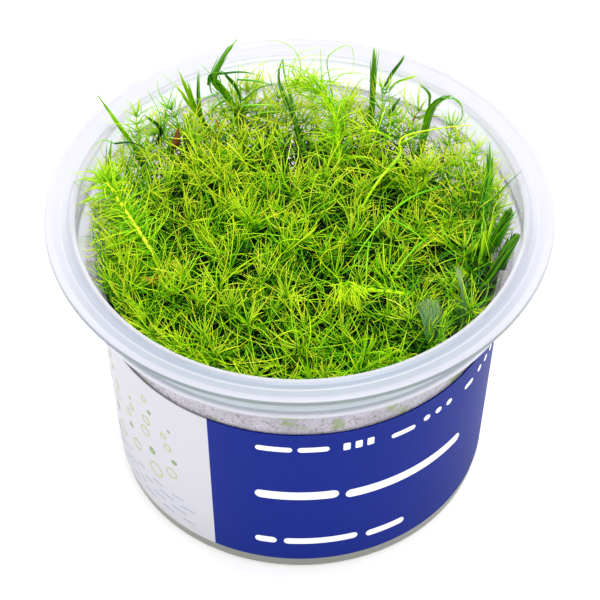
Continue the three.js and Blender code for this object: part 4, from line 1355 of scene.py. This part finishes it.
# Twigs, threads and single leaves beside the outstanding stems: their kind, half their width
# in millimetres, their tone and their way in millimetres
TWIGS = {
    "knotted_brush_shoot": [
        Twig("blade", 0.42, 0.2, [(-18.4, 33, 68), (-17.6, 33.4, 70.4), (-14.4, 33.8, 70.8)]),
        Twig("blade", 0.4, 0.16, [(-18.2, 33.2, 70.6), (-17, 33, 69), (-15, 33, 67.6)]),
        Twig("blade", 0.32, 0.3, [(-16.4, 34, 70.1), (-12.4, 34.4, 70.3), (-8.7, 35, 69.2)]),
        Twig("thread", 0.16, 0.4, [(-18, 33, 69.4), (-17.8, 33, 66.1), (-16.1, 33, 63.7)]),
        Twig("thread", 0.2, 0.45, [(-16.4, 33, 69.4), (-15, 33, 67.1), (-13.6, 33, 65.3)]),
        Twig("blade", 0.36, 0.28, [(-15.2, 33.4, 71), (-12.5, 33, 66.6), (-11.7, 33, 61)]),
        Twig("thread", 0.2, 0.35, [(-12.5, 33, 69.5), (-9, 33.6, 68.6), (-4.8, 34, 66.9)]),
        Twig("thread", 0.2, 0.25, [(-11.5, 32, 64.6), (-7.8, 33, 67.3), (-4.8, 33.5, 68)]),
        Twig("thread", 0.22, 0.5, [(-11.5, 31, 64.1), (-8.3, 31, 64.3), (-4.1, 31, 64.1)]),
        Twig("thread", 0.2, 0.3, [(-13.6, 32, 65.6), (-17.4, 32, 62.4), (-17.7, 32, 58)]),
        Twig("blade", 0.55, 0.38, [(-16.3, 30, 54.5), (-20.2, 30.6, 61), (-22.8, 31.2, 68),
                                   (-24.4, 31.6, 74)]),
        Twig("blade", 0.5, 0.3, [(-16.3, 30, 54.5), (-19.8, 30.4, 61), (-20.4, 31, 67),
                                 (-20.2, 31.5, 74)]),
        Twig("blade", 0.32, 0.55, [(-20.2, 30.6, 61), (-23, 31, 66), (-25.3, 31.3, 71)]),
        Twig("blade", 0.3, 0.5, [(-20.2, 30.6, 61), (-21.6, 31, 66), (-22.5, 31.3, 71)]),
        Twig("thread", 0.14, 0.55, [(-20.2, 30.6, 61), (-24, 31, 68), (-27.5, 31.4, 73)]),
        Twig("lone", 0.5, 0.88, [(-16.8, 25.6, 57.3), (-16, 26, 61.3), (-16.8, 26.6, 65)]),
        Twig("lone", 1.0, 0.9, [(-25.7, 21.4, 60.4), (-24.8, 22, 62.8), (-24.2, 22.8, 66)]),
    ],
    "back_brush_shoot": [
        Twig("blade", 0.4, 0.35, [(-9.5, 30.6, 61.6), (-6, 31, 62.3), (-1.8, 31, 62.2)]),
        Twig("blade", 0.75, 0.24, [(0.6, 27, 58), (-1.6, 30, 63), (-3.7, 32.8, 67.6),
                                   (-4.0, 34, 70.4), (-3.0, 35.6, 73.6)]),
        Twig("leafy", 0.3, 0.58, [(-2, 19, 52), (-2.6, 21, 58), (-3.4, 22.6, 63)]),
        Twig("leafy", 0.3, 0.5, [(1, 18, 52), (1.4, 20, 57), (2.6, 22, 62)]),
    ],
    "left_tall_shoot": [
        Twig("leafy", 0.3, 0.6, [(-31.8, 22, 55), (-32.3, 22.6, 63.3), (-32.6, 23.4, 69)]),
        Twig("blade", 0.6, 0.09, [(-28.9, 23.6, 60.5), (-28, 24, 64.4), (-31.1, 24.4, 68)]),
        Twig("thread", 0.16, 0.4, [(-27.6, 25, 60), (-27, 26, 66), (-25, 27, 73.5)]),
        Twig("thread", 0.14, 0.45, [(-28, 24, 60), (-28, 26, 66), (-30.5, 28, 72)]),
        Twig("leafy", 0.3, 0.5, [(-22, 26, 52), (-24, 28, 60), (-26, 29.5, 65)]),
    ],
    "left_rim_brush_shoot": [
        Twig("thread", 0.2, 0.11, [(-36.5, 14.6, 69.5), (-33.4, 16, 68.4), (-30.6, 17, 65.6)]),
        Twig("thread", 0.12, 0.5, [(-36.5, 14.6, 69.5), (-39, 14, 71), (-41, 12, 70)]),
        Twig("leafy", 0.3, 0.6, [(-35, 8, 54), (-36.4, 8.6, 60), (-37, 10, 65)]),
    ],
    "curled_shoot": [
        Twig("thread", 0.13, 0.6, [(-0.6, 34, 60), (-1.7, 34, 65.1), (-2, 34, 71.3),
                                   (0.5, 34, 75.9), (4.3, 34, 77.4)]),
        Twig("thread", 0.13, 0.56, [(7, 34, 62.8), (6.3, 34, 68.3), (6, 34, 74.9),
                                    (10.1, 34, 77.8), (11.2, 34, 73.5), (10.6, 34, 69.8)]),
        Twig("thread", 0.12, 0.62, [(4.9, 34, 65.6), (4.6, 34, 70.3), (4.3, 34, 77.8)]),
        Twig("thread", 0.13, 0.5, [(9.4, 33, 60.9), (10.8, 33, 65.9), (13.4, 33, 69.8),
                                   (14.8, 33, 68.1)]),
        Twig("thread", 0.13, 0.62, [(0.2, 33, 65.2), (1.1, 33, 70.7), (2.7, 33, 74.2),
                                    (3.9, 33, 77)]),
    ],
    "blunt_brush_shoot": [
        Twig("blade", 0.55, 0.22, [(17.4, 37, 63.6), (19, 37.4, 67.2), (21.8, 38.4, 71.2)]),
        Twig("blade", 0.3, 0.45, [(18.4, 35, 64.6), (20.1, 35.3, 66.4), (24.6, 35.6, 68)]),
        Twig("leafy", 0.3, 0.56, [(16, 29, 54), (16.6, 31.5, 60), (17.4, 33.4, 66)]),
        Twig("blade", 0.5, 0.1, [(18.5, 28, 64.6), (19.4, 28.4, 66.6), (20.6, 29, 68.2)]),
    ],
    "hooked_brush_shoot": [
        Twig("blade", 0.34, 0.34, [(26.3, 29, 65.4), (26.4, 29.2, 68.4), (24.3, 29.8, 71.3)]),
        Twig("thread", 0.13, 0.5, [(31, 29, 68.2), (33.3, 29, 64.8), (32.7, 29, 61.5),
                                   (30.6, 29, 58.5)]),
        Twig("thread", 0.13, 0.5, [(29, 29, 68), (32.3, 29.3, 66.8), (33.6, 28, 63)]),
        Twig("leafy", 0.3, 0.45, [(28, 22, 52), (30, 24, 59), (31, 26, 63)]),
        Twig("leafy", 0.3, 0.55, [(20, 24, 52), (20.6, 26, 58), (20, 28, 64)]),
        Twig("leafy", 0.3, 0.6, [(22, 22, 52), (23, 24, 57), (23.4, 25.6, 62)]),
        Twig("leafy", 0.3, 0.5, [(17, 25, 52), (17.6, 28, 58), (18.4, 30, 62)]),
    ],
    "right_brush_shoot": [
        Twig("leafy", 0.3, 0.6, [(30, 9, 56), (32.5, 12.4, 62), (35, 15, 66.5)]),
        Twig("leafy", 0.3, 0.5, [(32, 6, 56), (35, 7.4, 60), (37, 9, 63)]),
    ],
    "right_lying_brush_shoot": [
        Twig("sheet", 0.28, 0.95, [(31.7, -23.9, 60), (31.0, -20.3, 64), (30.1, -15.7, 66)]),
    ],
    "front_lying_brush_shoot": [
        Twig("sheet", 1.0, 0.95, [(24.8, -30.3, 60), (24.4, -28.1, 63.5), (23.5, -24.9, 66.5)]),
    ],
    "front_rim_brush_shoot": [
        Twig("stubby", 0.9, 0.14, [(39.2, -11.2, 60), (40.6, -9.6, 64), (42.4, -8.3, 67)]),
        Twig("blade", 0.6, 0.12, [(38.4, -9.6, 60), (39.6, -8.2, 63), (40.6, -7, 65)]),
    ],
    "right_rim_brush_shoot": [
        Twig("stubby", 0.9, 0.16, [(38.8, -4.8, 60), (40.0, -3.4, 64), (41.3, -2.2, 67.5)]),
        Twig("blade", 0.5, 0.4, [(35.5, -7, 56), (37, -4.4, 62), (38.1, -0.9, 66)]),
        Twig("blade", 0.4, 0.5, [(34, -9, 55), (35.4, -7, 60), (36.4, -4, 64)]),
    ],
    "plume_shoot": [
        Twig("rosette", 0.2, 0.83, [(-27, -14.4, 58), (-27.8, -15.4, 61), (-28.1, -16, 63)]),
    ],
    "long_bare_stem": [
        Twig("leafy", 0.28, 0.72, [(18.6, 17.6, 67.4), (15.5, 19.8, 67.4), (12.4, 20.3, 67)]),
        Twig("thread", 0.22, 0.46, [(27.9, 7.6, 64), (22.3, 2.9, 66), (17.8, -1.9, 66.4),
                                    (14, -6.9, 65.5), (11, -11.4, 64), (8.6, -18.8, 61)]),
        Twig("thread", 0.2, 0.44, [(17.8, -3.1, 66), (21.5, -5.9, 65.8), (25.5, -8.8, 64)]),
        Twig("thread", 0.17, 0.5, [(13.4, -8.7, 65.4), (12.9, -14.7, 65.5), (12.5, -21.8, 61)]),
        Twig("thread", 0.18, 0.48, [(25.2, -6, 64), (22, -11, 65.5), (17.9, -17.9, 64.8),
                                    (16.8, -21.9, 61)]),
    ],
}


def twig_parts(name, luck):
    """The meshes of the twigs, threads and single leaves beside one outstanding stem."""
    parts = []
    for kind, thick, tone, way in TWIGS.get(name, ()):
        stem = make_stem(way, 24)
        if kind in BUNDLES:
            parts.append(bundle(stem, BUNDLES[kind], thick, tone, luck))
            continue
        foot = 0.4 * thick * MM if kind == "lone" else thick * MM
        stem_tone = LIVING if kind == "rosette" else tone
        profile = [(0, foot), (0.4, thick * MM), (1, 0.3 * foot)]
        parts.append(stem_tube(stem, profile, stem_tone))
        if kind == "leafy":
            rows = []
            dress = Whorls(0.7, 7, 0.55, 0.2, 0.8, 0.7, 0.6, 0.85, tone, 0.15)
            grow_whorls(rows, stem, 0.15, 1.0, dress, luck)
            parts.append(needle_tubes(rows, TAPER))
        if kind == "rosette":
            rows = []
            place, along, side, up = at_run(stem, stem.length)
            for angle in luck.uniform(*ANY_ANGLE, 13):
                outward = math.cos(angle) * side + math.sin(angle) * up
                rows.append((place, outward + along * luck.uniform(0.1, 0.7), along, 0.4,
                             luck.uniform(1.8, 3.4) * MM, 0.18 * MM, tone))
            parts.append(needle_tubes(rows, TAPER))
    return parts


def bundled_parts(kind, way, luck):
    """The meshes of a shoot whose top leaves are stuck together in a point."""
    plant = bpy.context.scene.potted_plants
    stem = make_stem(way, 60)
    look = BUNDLES[kind]
    parts = [stem_tube(stem, [(0, plant.stem_radius), (1, plant.stem_radius * 0.3)], 0.3)]
    parts.append(bundle(stem, look, 1.0, look.tone, luck))
    rows = []
    low = Whorls(1.0, plant.needles, 0.85, 0.3, 0.9, 0.3, 0.4, 1.0, 0.5, 0.15)
    grow_whorls(rows, stem, 0.45, look.first + 0.04, low, luck, crown=False)
    wisps(rows, stem, (look.first - 0.05, look.first + 0.15), 6, 8 * MM, 1.3, 0.15 * MM, 0.45, luck)
    if way[-1][1] < SPARSE_FROM:
        inward = math.atan2(-way[-1][1], -way[-1][0])
        headings = [inward - 1.1, inward, inward + 1.1]
        if kind != "blunt":
            headings.append(inward + math.pi)
        side_shoots(rows, parts, stem, (17, 15, 13, 16)[:len(headings)], 6, 0.5, luck, headings)
    parts.append(needle_tubes(rows, TAPER))
    return parts


def plume_parts(way, luck):
    """A young yellow shoot with a thick stem and long sparse needles that curl."""
    stem = make_stem(way, 60)
    profile = [(0, 0.45 * MM), (0.6, 0.52 * MM), (0.85, 0.4 * MM), (1.0, 0.15 * MM)]
    parts = [stem_tube(stem, profile, LIVING, corners=8)]
    rows = []
    dress = Whorls(0.7, 8, 0.6, 0.1, 0.6, 1.6, 0.9, 0.8, 0.6, 0.1)
    grow_whorls(rows, stem, 0.5, 1.0, dress, luck)
    for share in luck.uniform(0.5, 1.0, 110):
        place, along, side, up = at_run(stem, stem.length * share)
        direction = luck.choice([-1.0, 1.0]) * np.cross(along, [0, 0, 1]) + [-0.2, 0, 0.5]
        bend = np.array([0, 0, -1.0]) + 0.6 * along + luck.normal(0, 0.4, 3)
        rows.append((place, direction + luck.normal(0, 0.3, 3), bend, luck.uniform(1.6, 3.8),
                     luck.uniform(8, 15) * MM, 0.13 * MM, luck.uniform(0.42, 0.7)))
    wisps(rows, stem, (0.84, 1.0), 60, 5.5 * MM, 1.6, 0.16 * MM, 0.68, luck, (0.1, 1.1))
    parts.append(needle_tubes(rows, FINE_TAPER))
    return parts


def curled_parts(way, luck):
    """A shoot that arches over, with short curly needles and limp threads that loop above it."""
    stem = make_stem(way, 60)
    profile = [(0, 0.5 * MM), (0.6, 0.65 * MM), (1.0, 0.35 * MM)]
    parts = [stem_tube(stem, profile, 0.6, corners=8)]
    rows = []
    dress = Whorls(0.55, 9, 0.55, 0.3, 0.8, 1.6, 0.8, 0.85, 0.56, 0.2)
    grow_whorls(rows, stem, 0.5, 1.0, dress, luck)
    for share in luck.uniform(0.66, 1.0, 54):
        place = at_run(stem, stem.length * share)[0]
        bend = np.array([luck.choice([-1.0, 1.0]), 0.2, -0.3]) + luck.normal(0, 0.3, 3)
        reach = min(luck.uniform(7, 17) * MM, (HIGHEST - place[2]) * 1.9)
        rows.append((place, np.array([0.0, 0.25, 0.9]) + luck.normal(0, 0.55, 3), bend,
                     luck.uniform(1.4, 3.6), reach, 0.14 * MM, 0.62 + luck.uniform(-0.08, 0.1)))
    parts.append(needle_tubes(rows, FINE_TAPER))
    return parts


def bare_parts(way, luck):
    """A pale stem that has lost its leaves, and the slim green stems that cross near it."""
    stem = make_stem(way, 80)
    slim = [(0, 0.3 * MM), (0.74, 0.27 * MM), (1.0, 0.1 * MM)]
    knot = [(0.7, 0.24 * MM), (0.74, 0.34 * MM), (0.78, 0.2 * MM), (1.0, 0.12 * MM)]
    parts = [
        stem_tube(stem, slim, 0.62, corners=8),
        stem_tube(stem, knot, LIVING, corners=8, first=0.7),
    ]
    rows = []
    low = Whorls(1.1, 8, 0.8, 0.3, 0.8, 0.3, 0.4, 0.95, 0.5, 0.15)
    grow_whorls(rows, stem, 0.35, 0.5, low, luck, crown=False)
    wisps(rows, stem, (0.7, 0.8), 8, 4 * MM, 0.9, 0.13 * MM, 0.7, luck)
    parts.append(needle_tubes(rows, TAPER))
    return parts


def lying_parts(way, luck):
    """A shoot that lies across the canopy and ends in a small bright tuft that hangs over."""
    stem = make_stem(way, 60)
    profile = [(0, 0.4 * MM), (0.7, 0.42 * MM), (1.0, 0.3 * MM)]
    parts = [stem_tube(stem, profile, 0.6, corners=8)]
    rows = []
    dress = Whorls(0.8, 5, 0.38, 0.7, 1.2, 0.3, 0.3, 0.9, 0.56, 0.15)
    grow_whorls(rows, stem, 0.5, 0.9, dress, luck, crown=False)
    for share in luck.uniform(0.93, 1.0, 100):
        place = at_run(stem, stem.length * share)[0]
        direction = np.array([-0.4, -0.35, 0.5]) + luck.normal(0, 0.3, 3)
        bend = np.array([0.4, -1.0, -0.4]) + luck.normal(0, 0.3, 3)
        rows.append((place, direction, bend, luck.uniform(1.0, 2.4), luck.uniform(3.5, 7.5) * MM,
                     0.15 * MM, LIVING - luck.uniform(0.06, 0.2)))
    parts.append(needle_tubes(rows, FINE_TAPER))
    return parts


def join_parts(node, parts, material):
    """Makes one object in a node's place of many arrays of vertices, triangles and map corners."""
    name = f"{node}_in_leaf"
    verts, tris, corners, shift = [], [], [], 0
    for part_verts, part_tris, part_corners in parts:
        verts.append(part_verts)
        tris.append(part_tris + shift)
        corners.append(part_corners)
        shift += len(part_verts)
    verts = np.concatenate(verts).astype(np.float32)
    tris = np.concatenate(tris).astype(np.int32)
    corners = np.concatenate(corners).astype(np.float32)
    mesh = bpy.data.meshes.new(name)
    mesh.vertices.add(len(verts))
    mesh.vertices.foreach_set("co", verts.ravel())
    mesh.loops.add(tris.size)
    mesh.loops.foreach_set("vertex_index", tris.ravel())
    mesh.polygons.add(len(tris))
    mesh.polygons.foreach_set("loop_start", np.arange(0, tris.size, 3, dtype=np.int32))
    mesh.polygons.foreach_set("use_smooth", np.ones(len(tris), bool))
    layer = mesh.uv_layers.new(name=LEAF_MAP)
    layer.data.foreach_set("uv", np.clip(corners, 0, 1).ravel())
    mesh.update(calc_edges=True)
    mesh.validate()
    piece = bpy.data.objects.new(name, mesh)
    bpy.context.scene.collection.objects.link(piece)
    mesh.materials.append(material)
    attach(piece, BODY)
    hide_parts(node)


def outstanding_of(*kinds):
    """The outstanding shoots of some kinds, each with its place in the list."""
    return [
        (index, name, kind, rooted_way(way))
        for index, (name, kind, way) in enumerate(OUTSTANDING) if kind in kinds
    ]


# How far the tip of a plantlet's way may be from the top of its solid
TIP_LEEWAY = 9 * MM


class GrowLeafyShoots(bpy.types.Operator):
    """Grow the leafy plantlets that make the canopy"""

    bl_idname = "potted_plant.grow_leafy_shoots"
    bl_label = "Leafy Shoots"
    bl_options = {"REGISTER", "UNDO"}

    def execute(self, context):
        tissue = leaf_tissue("fresh_leaf_tissue", 0.42, 0.0)
        for number, way in enumerate(leafy_ways(), start=1):
            node = f"leafy_shoot_{number:02d}"
            low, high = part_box(node)
            if abs(high.z - way[-1][2] * MM) > TIP_LEEWAY:
                raise RuntimeError(f"{node} in the frame isn't where its plantlet grows")
            join_parts(node, leafy_parts(way, number), tissue)
        return {"FINISHED"}


class GrowBundledShoots(bpy.types.Operator):
    """Grow the dark shoots whose wet leaves are stuck together in points"""

    bl_idname = "potted_plant.grow_bundled_shoots"
    bl_label = "Bundled Shoots"
    bl_options = {"REGISTER", "UNDO"}

    def execute(self, context):
        tissue = leaf_tissue("wet_leaf_tissue", 0.28, 0.35)
        for index, node, kind, way in outstanding_of(*BUNDLES):
            luck = np.random.default_rng(100 + index)
            parts = bundled_parts(kind, way, luck) + twig_parts(node, luck)
            join_parts(node, parts, tissue)
        return {"FINISHED"}


class GrowYoungShoots(bpy.types.Operator):
    """Grow the yellow plume, the curled shoot, the bare stem and the lying shoot"""

    bl_idname = "potted_plant.grow_young_shoots"
    bl_label = "Young Shoots"
    bl_options = {"REGISTER", "UNDO"}

    def execute(self, context):
        tissue = leaf_tissue("young_leaf_tissue", 0.4, 0.05)
        makers = {
            "plume": plume_parts, "curled": curled_parts, "bare": bare_parts, "lying": lying_parts,
        }
        for index, node, kind, way in outstanding_of(*makers):
            luck = np.random.default_rng(200 + index)
            parts = makers[kind](way, luck) + twig_parts(node, luck)
            join_parts(node, parts, tissue)
        return {"FINISHED"}


# The stage in metres, with the camera as it was fitted to the photograph
FLOOR_SIZE = 6.0
FLOOR_DROP = 0.2 * MM
LAMP_PLACE = (0.06, 0.06, 0.8)
LAMP_AIM = Vector((0, 0, 0.05))
LAMP_WIDTH = 0.45
CAMERA_PLACE = Vector((0.0, -382.19, 453.20)) * MM
CAMERA_AIM = Vector((0.00005, 0.678478, -0.734621))
CAMERA_ROLL = math.radians(-0.27)


class SetStage(bpy.types.Operator):
    """Set the floor, the soft light and the camera"""

    bl_idname = "potted_plant.set_stage"
    bl_label = "Stage"
    bl_options = {"REGISTER", "UNDO"}

    def execute(self, context):
        studio = context.scene.potted_studio
        bpy.ops.object.select_all(action="DESELECT")
        bpy.ops.mesh.primitive_plane_add(size=FLOOR_SIZE, location=(0, 0, -FLOOR_DROP))
        floor = context.object
        floor.name = "floor"
        floor.data.materials.append(plain_floor())
        world = bpy.data.worlds.new("white_sky")
        world.use_nodes = True
        sky = world.node_tree.nodes["Background"]
        sky.inputs["Color"].default_value = (1.0, 1.0, 1.0, 1.0)
        sky.inputs["Strength"].default_value = studio.world
        context.scene.world = world
        bpy.ops.object.light_add(type="AREA", location=LAMP_PLACE)
        lamp = context.object
        lamp.name = "soft_key"
        lamp.data.energy = studio.key
        lamp.data.size = LAMP_WIDTH
        lamp.rotation_euler = (LAMP_AIM - lamp.location).to_track_quat("-Z", "Y").to_euler()
        camera_data = bpy.data.cameras.new("camera")
        camera_data.lens = studio.lens
        camera_data.sensor_width = 36.0
        camera_data.clip_start = 0.01
        camera = bpy.data.objects.new("camera", camera_data)
        context.scene.collection.objects.link(camera)
        aim = CAMERA_AIM.normalized()
        right = aim.cross(Vector((0, 0, 1))).normalized()
        up = right.cross(aim)
        cosine, sine = math.cos(CAMERA_ROLL), math.sin(CAMERA_ROLL)
        turned_right = cosine * right + sine * up
        turned_up = -sine * right + cosine * up
        turn = Matrix((turned_right, turned_up, -aim)).transposed()
        camera.matrix_world = Matrix.Translation(CAMERA_PLACE) @ turn.to_4x4()
        context.scene.camera = camera
        context.scene.view_settings.view_transform = "Standard"
        return {"FINISHED"}


class PottedPlantPanel(bpy.types.Panel):
    """Lists the settings and the pieces"""

    bl_idname = "VIEW3D_PT_potted_plant"
    bl_label = "Potted Plant"
    bl_space_type = "VIEW_3D"
    bl_region_type = "UI"
    bl_category = "Potted Plant"

    def draw(self, context):
        layout = self.layout
        for name, group in SETTINGS.items():
            box = layout.box()
            box.label(text=group.__doc__)
            for setting in group.__annotations__:
                box.prop(getattr(context.scene, name), setting)
        for operator in STEPS:
            layout.operator(operator.bl_idname)


SETTINGS = {
    "potted_cup": CupSettings,
    "potted_film": FilmSettings,
    "potted_gel": GelSettings,
    "potted_plants": PlantSettings,
    "potted_studio": StudioSettings,
}
STEPS = (
    MakeCup, MakeFilm, MakePrint, MakeGel, GrowLeafyShoots, GrowBundledShoots, GrowYoungShoots,
    SetStage,
)
CLASSES = (*SETTINGS.values(), *STEPS, PottedPlantPanel)


def register():
    for made in CLASSES:
        bpy.utils.register_class(made)
    for name, group in SETTINGS.items():
        setattr(bpy.types.Scene, name, PointerProperty(type=group))


def unregister():
    for name in SETTINGS:
        delattr(bpy.types.Scene, name)
    for made in reversed(CLASSES):
        bpy.utils.unregister_class(made)


def main():
    register()
    bpy.ops.potted_plant.set_stage()
    bpy.ops.potted_plant.make_cup()
    bpy.ops.potted_plant.make_film()
    bpy.ops.potted_plant.make_print()
    bpy.ops.potted_plant.make_gel()
    bpy.ops.potted_plant.grow_leafy_shoots()
    bpy.ops.potted_plant.grow_bundled_shoots()
    bpy.ops.potted_plant.grow_young_shoots()


if __name__ == "__main__":
    main()
